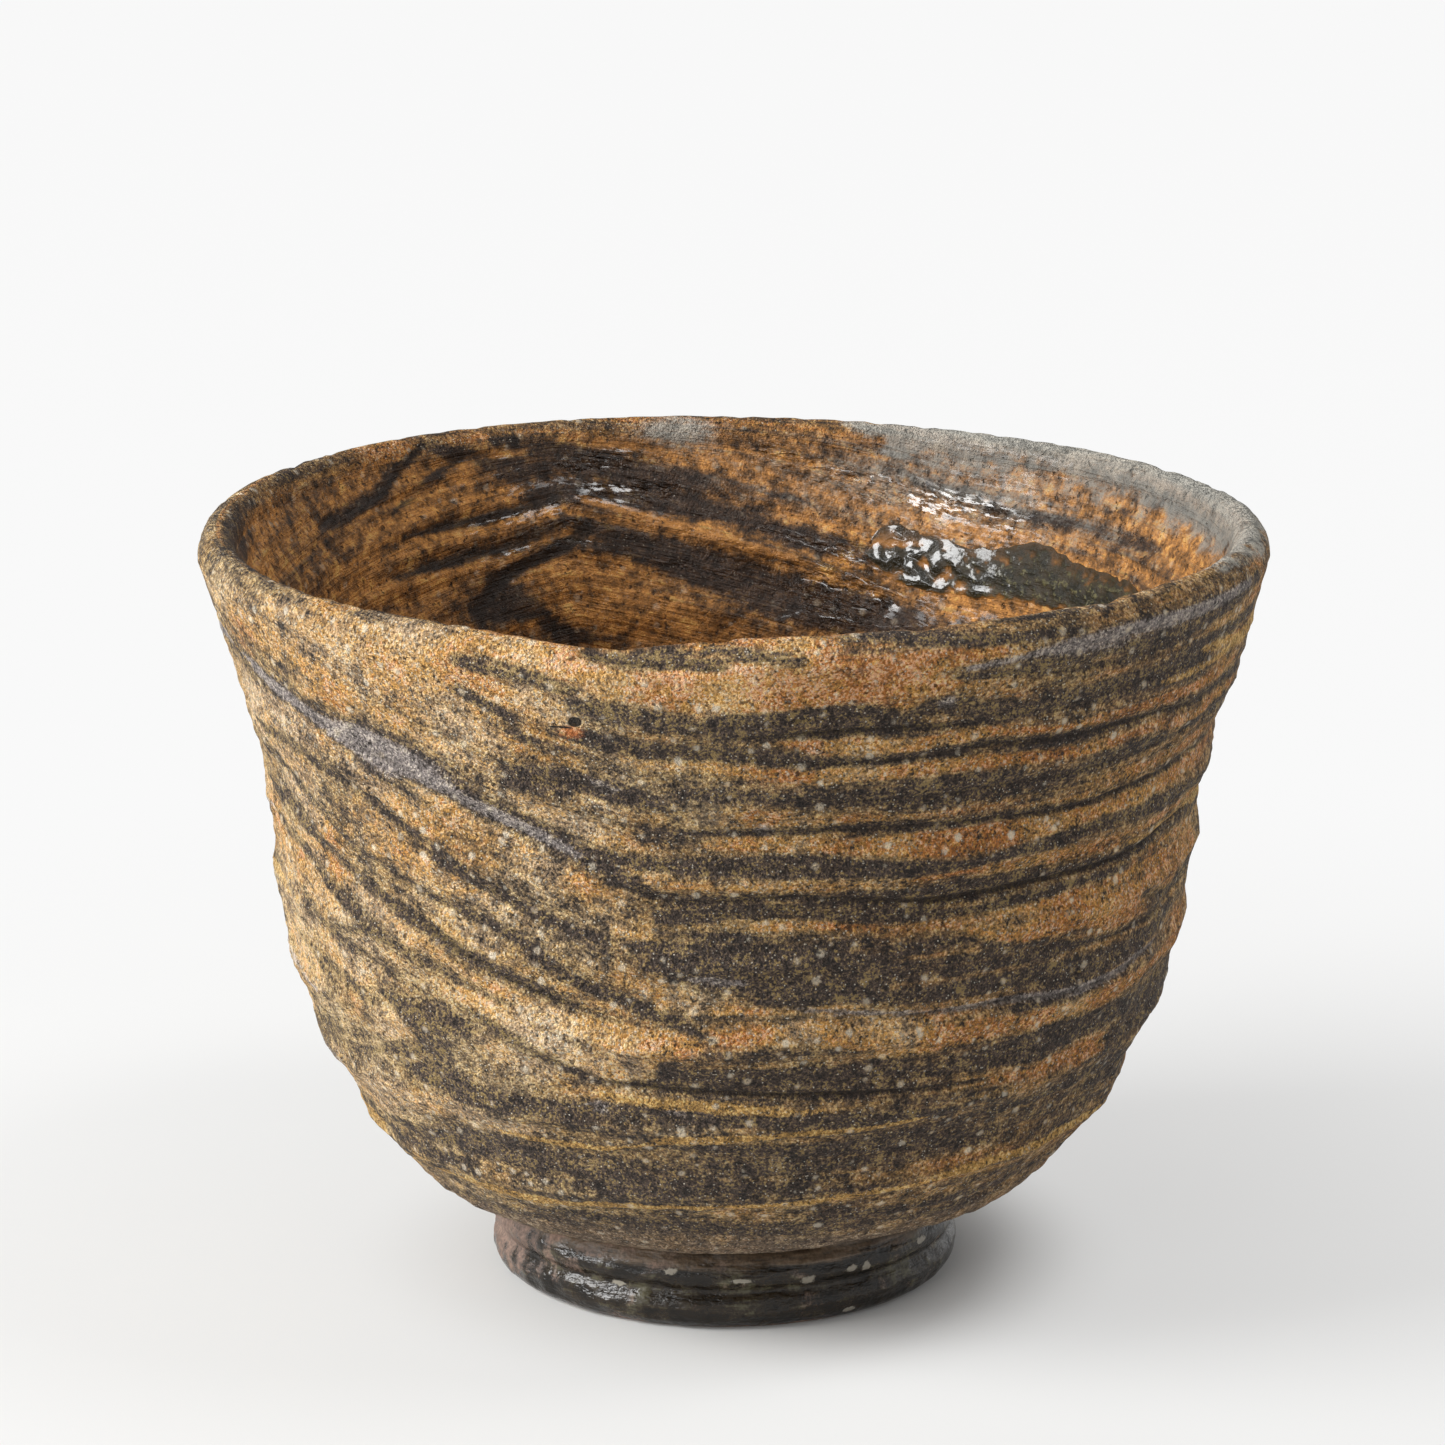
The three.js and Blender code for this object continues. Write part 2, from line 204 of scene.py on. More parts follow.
# Streaks of the inside, written in the same way as those of the outside
INSIDE_STREAKS = (
    # folds of light clay at the left
    (0.7, 0.90, -0.20, "tan", ((150, 81.4), (140, 83.4), (132.5, 86.8))),
    (1.3, 0.80, -0.15, "tan", ((138, 81.2), (128, 83.0), (122, 83.2), (116, 81.4))),
    (0.9, 0.95, -0.20, "tan", ((148, 77.2), (133, 78.9), (125, 79.8), (114, 81.3))),
    (0.9, 0.90, -0.15, "tan", ((154, 75.4), (134, 75.6), (123, 76.4), (111, 77.9))),
    (1.1, 0.90, -0.15, "tan", ((156, 72.3), (136, 71.9), (123, 72.5), (115, 73.8))),
    (3.5, 0.98, 0.00, "tan", ((121, 68.8), (110, 67.8), (104, 64.6), (96, 61.6), (80, 57.6))),
    (0.6, 0.70, -0.05, "tan", ((72, 77.3), (59, 76.7), (49, 76.7), (34, 76.6))),
    (0.55, 0.0, -0.50, "gold", RIDGE_LINE),
    # dark hollows
    (0.7, 0.90, 0.25, "iron", ((154, 81.0), (141, 82.4), (133.4, 85.6), (130, 87.3))),
    (0.6, 0.85, 0.20, "iron", ((139, 80.2), (132, 82.3), (125, 84.6))),
    (0.6, 0.85, 0.20, "iron", ((145, 75.9), (131.5, 76.9), (122, 78.0), (112, 79.7))),
    (0.6, 0.85, 0.20, "iron", ((144, 72.9), (130, 73.7), (120, 74.4), (112.5, 76.1))),
    (1.1, 1.00, 0.40, "iron", ((130, 67.2), (123.6, 70.4), (119, 72.1), (115, 73.3), (109, 75.8))),
    (2.2, 1.00, 0.20, "iron", ((131, 66.8), (123, 66.9), (118, 65.0), (111, 61.6))),
    (1.7, 0.98, 0.10, "iron", ((131, 86.6), (121, 83.0), (115, 81.0), (109, 79.6), (99, 77.7), (76, 72.2))),
    (2.3, 0.98, 0.00, "iron",
     ((112.5, 75.8), (109, 74.8), (99.5, 71.6), (89, 68.9), (80, 66.8), (60, 64.0))),
    (1.6, 0.85, 0.05, "iron", ((122, 86.4), (110, 83.2), (99, 80.0), (84, 76.2))),
    (0.6, 0.75, 0.10, "iron", ((56, 79.3), (42, 78.8), (33, 78.8), (20, 79.0))),
)

# Small marks on the outside: a pinhole and a crack beside it, both painted dark as shade, and a burnt fleck
# under it, each with its azimuth in degrees, height in mm, half width and half height in mm, and the wall's
# radius there in mm
PINHOLE = (-106.3, 77.9, 0.7, 0.55)
CRACK = (-107.9, 77.2, 1.2, 0.12)
BURNT_FLECK = (-106.7, 76.7, 1.2, 0.7)
MARK_RADIUS = 58.1

# Edge of the fold of clay at the nick of the lip: azimuth in degrees against height in mm
FOLD_LINE = ((-111, 86.7), (-104, 85.0), (-98, 83.4), (-84, 82.4))

# Crawled spots in the glass on the foot: azimuth, height, and their half widths in degrees and mm
CRAWLED = (
    (-102.8, 7.0, 2.0, 0.5),
    (-86.0, 6.1, 3.2, 0.3),
    (-69.6, 5.5, 2.2, 0.7),
    (-58.0, 6.1, 1.6, 0.5),
    (-53.6, 5.9, 1.4, 0.6),
    (-58.5, 1.2, 2.0, 0.4),
    (-117.0, 4.6, 2.0, 0.4),
    (-34.0, 6.6, 2.4, 0.5),
    (30.0, 6.2, 2.6, 0.5),
    (78.0, 5.0, 2.2, 0.6),
    (131.0, 6.6, 3.0, 0.4),
)

# Outline of the run of glass inside: azimuth in degrees against height in mm
RUN_TOP = (
    (71.5, 72.4), (69, 75.6), (62, 74.7), (54, 74.1), (48, 75.3), (45, 76.0), (40, 75.1), (34, 74.6),
    (24, 74.3), (20, 72.8),
)
RUN_BOTTOM = (
    (71.5, 72.2), (67.4, 69.4), (61, 68.4), (55, 68.4), (47, 68.8), (41, 69.0), (32, 69.4), (24, 70.4),
    (20, 72.6),
)

# Lowest level of the dry ash on the inside and on the outside of the lip, in the same way
ASH_INSIDE = ((-45, 90), (-25, 86.5), (5, 81.9), (19, 82.7), (28, 83.5), (49, 84.5), (70, 85.1), (82, 90))
ASH_OUTSIDE = ((-42, 90), (-18, 85.6), (20, 84.4), (60, 85.4), (82, 90))

# Middle of the band of melted ash inside, in the same way
WET_LINE = ((45, 77.3), (53, 78.1), (65, 78.8), (75, 80.4), (84, 83.1), (88, 84.2))

# Patches of it: azimuth, height, their half widths in degrees and mm, and strength
WET_PATCHES = (
    ((107, 82.8, 6, 1.1), 1.0),
    ((103, 79.2, 8, 1.2), 0.7),
    ((73, 66.2, 7, 2.6), 0.8),
    ((71, 72.0, 5, 2.6), 0.7),
    ((88, 71.0, 26, 8.0), 0.4),
    ((120, 76.0, 14, 8.0), 0.35),
)

# Patches of the outside where the light clay is palest, in the same way
PALE_PATCHES = (
    ((-92, 83.0, 30, 5), 1.0),
    ((-112, 41.5, 14, 5), 0.7),
    ((-125, 47.5, 12, 4), 0.4),
    ((-150, 38.0, 24, 9), 0.8),
    ((-15, 62.0, 16, 24), 0.4),
    ((-165, 55.0, 16, 28), 0.6),
)

# Where the ground under the streaks is lighter outside and inside, darker on the lip, and calmer low
# at the left, in the same way
LIGHT_OUTSIDE = (((-100, 84.0, 50, 6), 0.45), ((-18, 58.0, 16, 30), 0.09), ((-111, 42.0, 13, 5), 0.2))
LIGHT_INSIDE = (((30, 80.0, 30, 7), 0.06), ((80, 84.0, 30, 4), 0.08))
DARK_LIP = (((-150, 87.5, 34, 2.4), 0.3),)
CALM_PATCHES = (((-150, 44.0, 36, 16), 0.28),)

# The light left side, the levels in mm between which it sets in, and the azimuth of the warmest side
LIGHT_LEFT = (-145, 60.0, 44, 60)
LEFT_FADE = (24, 36)
WARM_AZIMUTH = -20

# Places at the left where finger marks are smoothed and furrows are shallow, in the same way
SMOOTHED_LEFT = (-178, 64.0, 40, 16)
SHALLOW_LEFT = (-172, 55.0, 26, 60)

# Bed of the run: its azimuth, and its half widths in degrees and mm
BED_AZIMUTH = 45
BED_HALF_WIDTHS = (26, 4.6)

# Level in mm from which the inside is toasted, and half of the width in mm of its crest
TOASTED_LEVEL = 87.2
RIDGE_HALF = 1.8

# Where the fire warmed the light clay more, and where dry ash reaches down inside, in the same way
EMBER_PATCHES = (((-100, 84.0, 34, 4), 0.35), ((-160, 50.0, 22, 20), 0.05))
ASH_PATCHES = (((97, 86.0, 6, 2.2), 0.9), ((60, 80.0, 44, 6.5), 0.66))

# Where the glass on the foot ran thin, in the same way
BARE_PATCHES = (((-172, 6.0, 34, 5), 1.0), ((-120, 10.0, 40, 2.0), 0.3))

# Low swellings of the hand-held wall, in the same way, with how far they stand out in mm as strength
SWELLINGS = (
    ((180, 33.5, 50, 5.0), 0.45),
    ((180, 46.5, 45, 5.0), 0.45),
    ((0, 74.5, 45, 4.5), 0.40),
    ((0, 54.5, 40, 3.0), 0.25),
    ((-70, 61.0, 60, 2.6), 0.30),
    ((-60, 47.5, 45, 2.6), 0.25),
)


def length(name, description, millimetres):
    """A size in metres, written in millimetres."""
    return FloatProperty(
        name=name, description=description, default=millimetres * MM, unit="LENGTH", precision=5
    )


def degrees(name, description, value):
    """An angle in radians, written in degrees."""
    return FloatProperty(name=name, description=description, default=math.radians(value), subtype="ANGLE")


def power(name, description, watts):
    """The power of a lamp in watts."""
    return FloatProperty(name=name, description=description, default=watts, unit="POWER")


def tint(name, description, code):
    """A colour, written as six digits of red, green and blue as they show on a screen."""
    shown = np.array([int(code[start:start + 2], 16) for start in (0, 2, 4)]) / 255
    light = np.where(shown <= 0.04045, shown / 12.92, ((shown + 0.055) / 1.055) ** 2.4)
    return FloatVectorProperty(
        name=name, description=description, default=light.tolist(), size=3, subtype="COLOR", min=0, max=1
    )


class BowlSizes(bpy.types.PropertyGroup):
    """Sizes of the thrown bowl"""

    seat_radius: length("Seat radius", "Edge of the flat bottom that sits on the foot", 28.0)
    seat_height: length("Seat height", "Level of the flat bottom", BOWL_BOX[0].z / MM)
    base_radius: length("Base radius", "Outside radius where the bottom turns up", 37.2)
    base_height: length("Base height", "Level where the bottom turns up", 14.6)
    hip_radius: length("Hip radius", "Outside radius low on the wall", 44.6)
    hip_height: length("Hip height", "Level of the hip", 24.6)
    belly_radius: length("Belly radius", "Outside radius half way up", 50.4)
    belly_height: length("Belly height", "Level of the belly", 40.0)
    waist_radius: length("Waist radius", "Outside radius where the flare starts", 53.1)
    waist_height: length("Waist height", "Level where the flare starts", 60.0)
    rim_radius: length("Rim radius", "Outside radius of the lip", BOWL_BOX[1].x / MM)
    rim_height: length("Rim height", "Mean level of the lip's crest", 87.4)
    wall: length("Wall", "Thickness of the wall", 5.6)
    floor: length("Floor", "Thickness of the floor", 6.5)
    floor_radius: length("Floor radius", "Radius of the flat floor inside", 20.0)
    lip: length("Lip", "Thickness of the lip", 4.9)
    lip_drop: length("Lip drop", "Height of the lip's rounding", 3.4)
    flare_setback: length("Flare setback", "How far the flare is inside the rim", 3.3)
    flare_drop: length("Flare drop", "How far the flare is under the lip", 10.0)
    spiral_pitch: length("Spiral pitch", "Rise of the throwing spiral in one turn", 9.5)
    spiral_depth: length("Spiral depth", "Depth of the finger marks", 0.8)
    spiral_start: length("Spiral start", "Level at which the spiral starts", 5.2)
    rim_sway: length("Rim sway", "Rise and fall of the lip", 0.45)
    rim_sway_angle: degrees("Rim sway angle", "Where the lip is highest", -45.0)
    rim_dip: length("Rim dip", "Depth of the nick in the lip", 1.3)
    rim_dip_angle: degrees("Rim dip angle", "Place of the nick", -104.0)
    rim_dip_width: degrees("Rim dip width", "Half width of the nick", 9.0)
    sand: length("Sand", "Height of the sand in the surface", 0.075)
    comb: length("Comb", "Depth of the fine turning lines", 0.11)
    lump: length("Lump", "Height of the uneven wall", 0.14)


class FootSizes(bpy.types.PropertyGroup):
    """Sizes of the foot ring and the slip above it"""

    centre: length("Centre", "How far the foot stands off the axis", FOOT_CENTRE / MM)
    radius: length("Radius", "Outside radius of the two beads", 26.1)
    edge: length("Edge", "How far the standing edge draws in", 0.8)
    bead_low: length("Low bead", "Level of the lower bead", 2.5)
    groove_height: length("Groove level", "Level of the groove between the beads", 4.6)
    groove_depth: length("Groove depth", "Depth of the groove", 0.35)
    bead_high: length("High bead", "Level of the upper bead", 6.4)
    neck_radius: length("Neck radius", "Outside radius under the bowl", 25.4)
    neck_height: length("Neck level", "Level of the neck", 8.8)
    height: length("Height", "Level of the top face", FOOT_BOX[1].z / MM)
    bore: length("Bore", "Radius of the hollow in the foot", 20.0)
    flare: length("Flare", "How far the hollow widens at the bottom", 1.2)
    smear: length("Smear", "How far the slip spreads under the bowl", 2.6)


class GlassSizes(bpy.types.PropertyGroup):
    """Sizes of the ash glass"""

    coat: length("Coat", "Thickness of the glass on the foot", 0.75)
    bare_edge: length("Bare edge", "Height of the bare clay at the table", 0.3)
    top_margin: length("Top margin", "Gap from the coat to the top of the foot", 0.7)
    run_level: length("Run level", "Level of the run's middle", 72.3)
    run_thickness: length("Run thickness", "Thickness of the run", 0.32)


class CupColours(bpy.types.PropertyGroup):
    """Colours of the clays, the glass and the floor"""

    tan: tint("Tan clay", "The light clay", "bd8d49")
    orange: tint("Orange clay", "The light clay where the fire caught it", "a2662f")
    olive: tint("Olive clay", "The light clay where ash settled thinly", "ad9170")
    dark: tint("Dark clay", "The iron clay", "463a34")
    grey: tint("Grey sand", "Grey grains in the light clay", "a09a8a")
    ochre: tint("Ochre clay", "The light clay under a thin veil of the dark one", "9a8252")
    smoke: tint("Smoke", "Grey bloom on the dark clay", "8f8682")
    gold: tint("Gold", "Thin lines of yellow slip", "c4974f")
    feldspar: tint("Feldspar", "White grains", "efe5d1")
    # Painted shade: the near-black toward which the pits, the furrows, the pinhole and its crack are
    # darkened
    pit: tint("Pit", "Pits between the grains", "241a13")
    burnt: tint("Burnt", "A burnt fleck of clay", "b8682f")
    ash: tint("Ash", "Dry ash on the lip", "b1afa6")
    inner: tint("Inner clay", "Toasted clay inside", "a67239")
    soot: tint("Soot", "The iron clay inside", "261910")
    slip: tint("Slip", "Slip in the joint", "786450")
    foot: tint("Foot clay", "Bare clay of the foot", "80695c")
    foot_glass: tint("Foot glass", "Olive black glass", "211a11")
    foot_streak: tint("Foot streak", "Grey-green streaks in the glass", "595440")
    # The dark olive of the thickest glass, also used as the painted shade under the ledge over the run
    run_deep: tint("Deep run", "Dark olive glass under the ledge", "1e1c12")
    run_cloud: tint("Cloudy run", "Thick cloudy glass", "393123")
    run_thin: tint("Thin run", "Grey-green mottling of the thinner glass", "7d7650")
    floor: tint("Floor", "Paper under the cup", "dcdcda")


class StageSizes(bpy.types.PropertyGroup):
    """The camera, the lamps and the floor"""

    camera_place: FloatVectorProperty(
        name="Camera place",
        description="Where the camera stands",
        default=(-0.00126, -0.5616, 0.2096),
        size=3,
        subtype="TRANSLATION",
        unit="LENGTH",
    )
    camera_pitch: degrees("Camera pitch", "How far the camera looks down", 14.607)
    camera_lens: FloatProperty(
        name="Camera lens", description="Focal length in mm on a 36 mm sensor", default=127.63, unit="CAMERA"
    )
    key_power: power("Key power", "Power of the soft lamp at the left", 20.0)
    top_power: power("Top power", "Power of the small lamp overhead", 2.6)
    catch_power: power("Catch power", "Power of the small lamp that the wet ash mirrors", 1.5)
    sky_level: FloatProperty(name="Sky level", description="Level of the light from all round", default=0.42)
    floor_half: length("Floor", "Half of the floor's side", 4000.0)


def smooth(value, low, high):
    """0 below low, 1 above high, and an S-shaped rise between them."""
    share = np.clip((value - low) / (high - low), 0, 1)
    return share * share * (3 - 2 * share)


def point_slopes(points):
    """Slopes of a smooth curve at its points. The parameter grows by the square root of each chord, and the
    slope at a point is the mean of the two chords' slopes, the shorter chord's weighing more."""
    chords = np.diff(points, axis=0)
    steps = np.sqrt(np.linalg.norm(chords, axis=1))
    slopes = chords / steps[:, None]
    before = steps[:-1, None]
    after = steps[1:, None]
    inner = (slopes[:-1] * after + slopes[1:] * before) / (before + after)
    return steps, np.concatenate((slopes[:1], inner, slopes[-1:]))


def smooth_through(points, count):
    """A smooth curve through the points: cubic pieces with the slopes of point_slopes, as count points."""
    points = np.asarray(points, float)
    steps, slopes = point_slopes(points)
    knots = np.concatenate(([0.0], np.cumsum(steps)))
    at = np.linspace(0, knots[-1], count)
    piece = np.clip(np.searchsorted(knots, at, side="right") - 1, 0, len(steps) - 1)
    step = steps[piece][:, None]
    share = (at - knots[piece])[:, None] / step
    rest = 1 - share
    return (
        (1 + 2 * share) * rest**2 * points[piece]
        + share * rest**2 * step * slopes[piece]
        + (3 - 2 * share) * share**2 * points[piece + 1]
        - share**2 * rest * step * slopes[piece + 1]
    )


def evenly(points, count, crowding=1.0):
    """The same line with count points at even distances, or closer together at its start."""
    lengths = np.linalg.norm(np.diff(points, axis=0), axis=1)
    along = np.concatenate(([0.0], np.cumsum(lengths)))
    at = along[-1] * np.linspace(0, 1, count) ** crowding
    return np.stack([np.interp(at, along, column) for column in points.T], axis=1)


def waves(points, wave, seed, count=44):
    """Even, seamless roughness with a mean of 0 and a deviation of 1: a sum of plane waves with random
    directions and starts, and lengths round the given one."""
    draw = np.random.default_rng(seed)
    ways = draw.normal(size=(count, 3))
    ways *= (draw.uniform(0.6, 1.6, count) * 2 * np.pi / wave / np.linalg.norm(ways, axis=1))[:, None]
    starts = draw.uniform(0, 2 * np.pi, count)
    return np.sin(points @ ways.T + starts).sum(-1) * np.sqrt(2 / count)


def turned(radius, height, angle, centre=0.0):
    """Points at a radius and an angle round the axis, with the angle 0 at +X."""
    radius, height, angle = np.broadcast_arrays(radius, height, angle)
    return np.stack((radius * np.cos(angle) + centre, radius * np.sin(angle), height), axis=-1)


def skin(name, points, poles=None):
    """A closed mesh from a grid of points whose columns go round. With poles, the first and last rows close
    on the two given points, and without them the rows go round as well."""
    rows, columns = points.shape[:2]
    index = np.arange(rows * columns).reshape(rows, columns)
    if poles is None:
        index = np.concatenate((index, index[:1]))
    here = index[:-1]
    next_row = index[1:]
    corners = (here, np.roll(here, -1, 1), np.roll(next_row, -1, 1), next_row)
    quads = np.stack(corners, axis=-1).reshape(-1, 4)
    places = points.reshape(-1, 3)
    fans = np.zeros((0, 3), int)
    if poles is not None:
        first = np.full(columns, rows * columns)
        start = np.stack((first, np.roll(index[0], -1), index[0]), axis=-1)
        end = np.stack((first + 1, index[-1], np.roll(index[-1], -1)), axis=-1)
        fans = np.concatenate((start, end))
        places = np.concatenate((places, poles))
    mesh = bpy.data.meshes.new(name)
    mesh.from_pydata(places.tolist(), [], quads.tolist() + fans.tolist())
    mesh.polygons.foreach_set("use_smooth", np.ones(len(mesh.polygons), bool))
    mesh.update()
    return mesh


def paint(mesh, name, *layers):
    """Keeps up to four layers of numbers on a mesh as a colour attribute, one number a point in each. Points
    past the grid, which are the poles, get the mean of the layer's first or last row."""
    spare = len(mesh.vertices) - layers[0].size
    columns = []
    for layer in layers:
        ends = [layer[0].mean(), layer[-1].mean()][:spare]
        columns.append(np.concatenate((layer.ravel(), ends)))
    while len(columns) < 4:
        columns.append(np.ones(len(mesh.vertices)))
    values = np.stack(columns, axis=1).astype(np.float32)
    mesh.attributes.new(name, "FLOAT_COLOR", "POINT").data.foreach_set("color", values.ravel())


def set_piece(mesh, material, node):
    """Puts a finished mesh into the scene in place of a node of the packed model."""
    mesh.materials.append(material)
    piece = bpy.data.objects.new(mesh.name, mesh)
    bpy.context.scene.collection.objects.link(piece)
    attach(piece, "root")
    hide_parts(node)


def bowl_lines(size):
    """The outside and the inside of the bowl as lines of radius and height. The outside is a smooth curve
    through its named levels, and the inside the same levels moved in by the wall."""
    lip_height = size.rim_height - size.lip_drop
    floor_height = size.seat_height + size.floor
    levels = np.array([
        (size.seat_radius, size.seat_height),
        (size.base_radius, size.base_height),
        (size.hip_radius, size.hip_height),
        (size.belly_radius, size.belly_height),
        (size.waist_radius, size.waist_height),
        (size.rim_radius - size.flare_setback, lip_height - size.flare_drop),
        (size.rim_radius, lip_height),
    ])
    slopes = point_slopes(levels)[1]
    slopes /= np.linalg.norm(slopes, axis=1)[:, None]
    inward = np.stack((-slopes[:, 1], slopes[:, 0]), axis=1)
    moved = (levels + size.wall * inward)[-2:0:-1]
    inner = np.concatenate((
        [(size.rim_radius - size.lip, lip_height)],
        moved,
        [(size.floor_radius, floor_height), (0, floor_height)],
    ))
    return smooth_through(levels, BOWL_CURVE), smooth_through(inner, BOWL_CURVE)


def bowl_profile(size):
    """The whole line of the bowl from its underside over the lip to its floor, and the row of the lip's
    crest. The lip is half an ellipse between the two walls."""
    outer, inner = bowl_lines(size)
    outside = evenly(outer, OUTSIDE_ROWS)
    inside = evenly(inner, INSIDE_ROWS + 1, 1.5)[:-1]
    under_radius = size.seat_radius * np.linspace(0.5, 0.985, UNDERSIDE_ROWS)
    under = np.stack((under_radius, np.full(UNDERSIDE_ROWS, size.seat_height)), axis=1)
    turn = np.linspace(0, np.pi, LIP_ROWS + 2)[1:-1]
    middle = (outside[-1] + inside[0]) / 2
    half = (outside[-1, 0] - inside[0, 0]) / 2
    lip = middle + np.stack((half * np.cos(turn), size.lip_drop * np.sin(turn)), axis=1)
    crest = UNDERSIDE_ROWS + OUTSIDE_ROWS + LIP_ROWS // 2
    return np.concatenate((under, outside, lip, inside)), crest


def finger_marks(size, angle, height):
    """The throwing spiral: between two turns the depth follows a parabola, so ridges stand where turns
    meet."""
    turns = (height - size.spiral_start) / size.spiral_pitch - angle / (2 * np.pi)
    across = 2 * (turns - np.floor(turns)) - 1
    return size.spiral_depth * (across**2 - 1 / 3)


def rim_wave(size, angle):
    """The lip's rise and fall twice round, and a bell-shaped nick."""
    away = (angle - size.rim_dip_angle + np.pi) % (2 * np.pi) - np.pi
    sway = size.rim_sway * np.cos(2 * (angle - size.rim_sway_angle))
    return sway - size.rim_dip * np.exp(-((away / size.rim_dip_width) ** 2))


def layer_lift(azimuth):
    """How far the layers of clay are lifted at an azimuth on the outside, in mm. They fall steeply from the
    left edge to the front, rise again round the back of the left, and lie level elsewhere."""
    round_left = (azimuth + 260) % 360 - 260
    return np.interp(round_left, (-260, -205, -165, -100, 100), (0, 13, 19.5, 0, 0))


def fold_lift(azimuth):
    """The same on the inside: the layers climb to a seam at the back of the left, and sink again past it."""
    round_back = (azimuth + 100) % 360 - 100
    return np.interp(round_back, (-100, 20, 60, 113, 160, 260), (0, 0, 0.8, 12.3, 6.5, 0))


def far_side_streaks(draw):
    """Streaks for the side away from the viewer: each keeps to one layer of clay over part of a turn."""
    streaks = []
    for _ in range(FAR_STREAKS):
        first = draw.uniform(-40, 165)
        last = min(first + draw.uniform(35, 110), 205)
        level = draw.uniform(13, 86)
        azimuth = np.linspace(first, last, 6)
        share = smooth(level, *LIFT_FADE)
        height = level + layer_lift(azimuth) * share - 6 * share + draw.normal(0, 0.4, 6)
        width = 0.35 + draw.gamma(1.6, 0.45)
        line = tuple(zip(azimuth.tolist(), height.tolist()))
        tone = draw.choice(("iron", "iron", "iron", "iron", "iron", "smoke", "gold"))
        depth = draw.uniform(0.05, 0.3) if tone == "iron" else -0.1
        streaks.append((min(width, 2.4), draw.uniform(0.7, 1.0), depth, str(tone), line))
    return streaks


def lay_streaks(streaks, azimuth, height, drift, swell, breadth):
    """Layers of tone and depths of furrow over a surface. Each streak is a band about a line of height over
    azimuth. It narrows to nothing at both ends, drifts a little and has soft sides inside a thin veil. Low
    in it is a furrow of the given breadth in mm."""
    layers = {tone: np.zeros(height.shape) for tone in ("tan", "iron", "smoke", "gold")}
    furrow = np.zeros(height.shape)
    for half_width, strength, depth, tone, line in streaks:
        path = smooth_through(line, STREAK_CURVE)
        first, last = path[[0, -1], 0]
        if first > last:
            path = path[::-1]
            first, last = last, first
        middle = (first + last) / 2
        around = (azimuth - middle + 180) % 360 - 180 + middle
        share = np.clip((around - first) / (last - first), 0, 1)
        taper = (4 * share * (1 - share)) ** 0.4
        width = half_width * taper * (1 + 0.25 * swell) + 0.02
        away = height - np.interp(around, path[:, 0], path[:, 1]) - 0.25 * drift
        core = 1 - smooth(np.abs(away) / width, 0.45, 1.45)
        veil = 1 - smooth(np.abs(away) / (width + min(1.6, 1.5 * half_width)), 0.2, 1.2)
        band = strength * (0.78 * core + 0.22 * veil) * np.minimum(taper * 3, 1)
        layers[tone] = np.maximum(layers[tone], band)
        furrow += depth * taper * np.exp(-(((away + 0.3 * width) / breadth) ** 2))
    return layers, np.clip(furrow, -0.8, 0.8)


def near(azimuth, height, place, level, half_angle, half_height):
    """A soft round patch: 1 at its middle and falling like a bell in angle and in height."""
    away = (azimuth - place + 180) % 360 - 180
    return np.exp(-((away / half_angle) ** 2) - ((height - level) / half_height) ** 2)


def patches(azimuth, height, places):
    """Several soft round patches, each times its strength, added up."""
    return sum(strength * near(azimuth, height, *place) for place, strength in places)


def level_at(azimuth, line):
    """The height in mm of a line of azimuth against height."""
    return np.interp(azimuth, *np.transpose(line))


def bowl_grid(size):
    """The bowl's grid before any mark: the profile turned round the axis, with its places in mm, its level
    with the lip's rise and fall, and the layer of clay that each place belongs to. A flow is a place that
    hardly changes along a layer, so roughness on it comes out as long lines."""
    profile, crest = bowl_profile(size)
    angle = np.linspace(-np.pi, np.pi, BOWL_COLUMNS, endpoint=False)[None, :]
    azimuth = np.degrees(angle)
    radius, height = profile[:, :1], profile[:, 1:]
    plain = turned(radius, height, angle) / MM
    level = height + rim_wave(size, angle) * smooth(height, size.waist_height, size.rim_height)
    tall = level / MM
    row = np.arange(len(profile))[:, None]
    over = smooth(row, crest - LIP_ROWS, crest + LIP_ROWS)
    lift = layer_lift(azimuth) * smooth(tall, *LIFT_FADE) * (1 - over)
    layer = tall - lift - fold_lift(azimuth) * over
    flow = np.stack((plain[..., 0] * FLOW_SHARE, plain[..., 1] * FLOW_SHARE, layer), axis=-1)
    return SimpleNamespace(
        profile=profile, angle=angle, azimuth=azimuth, radius=radius, height=height, plain=plain,
        level=level, tall=tall, outer=row < crest, layer=layer, flow=flow, lines=waves(flow, 1.9, 3),
    )


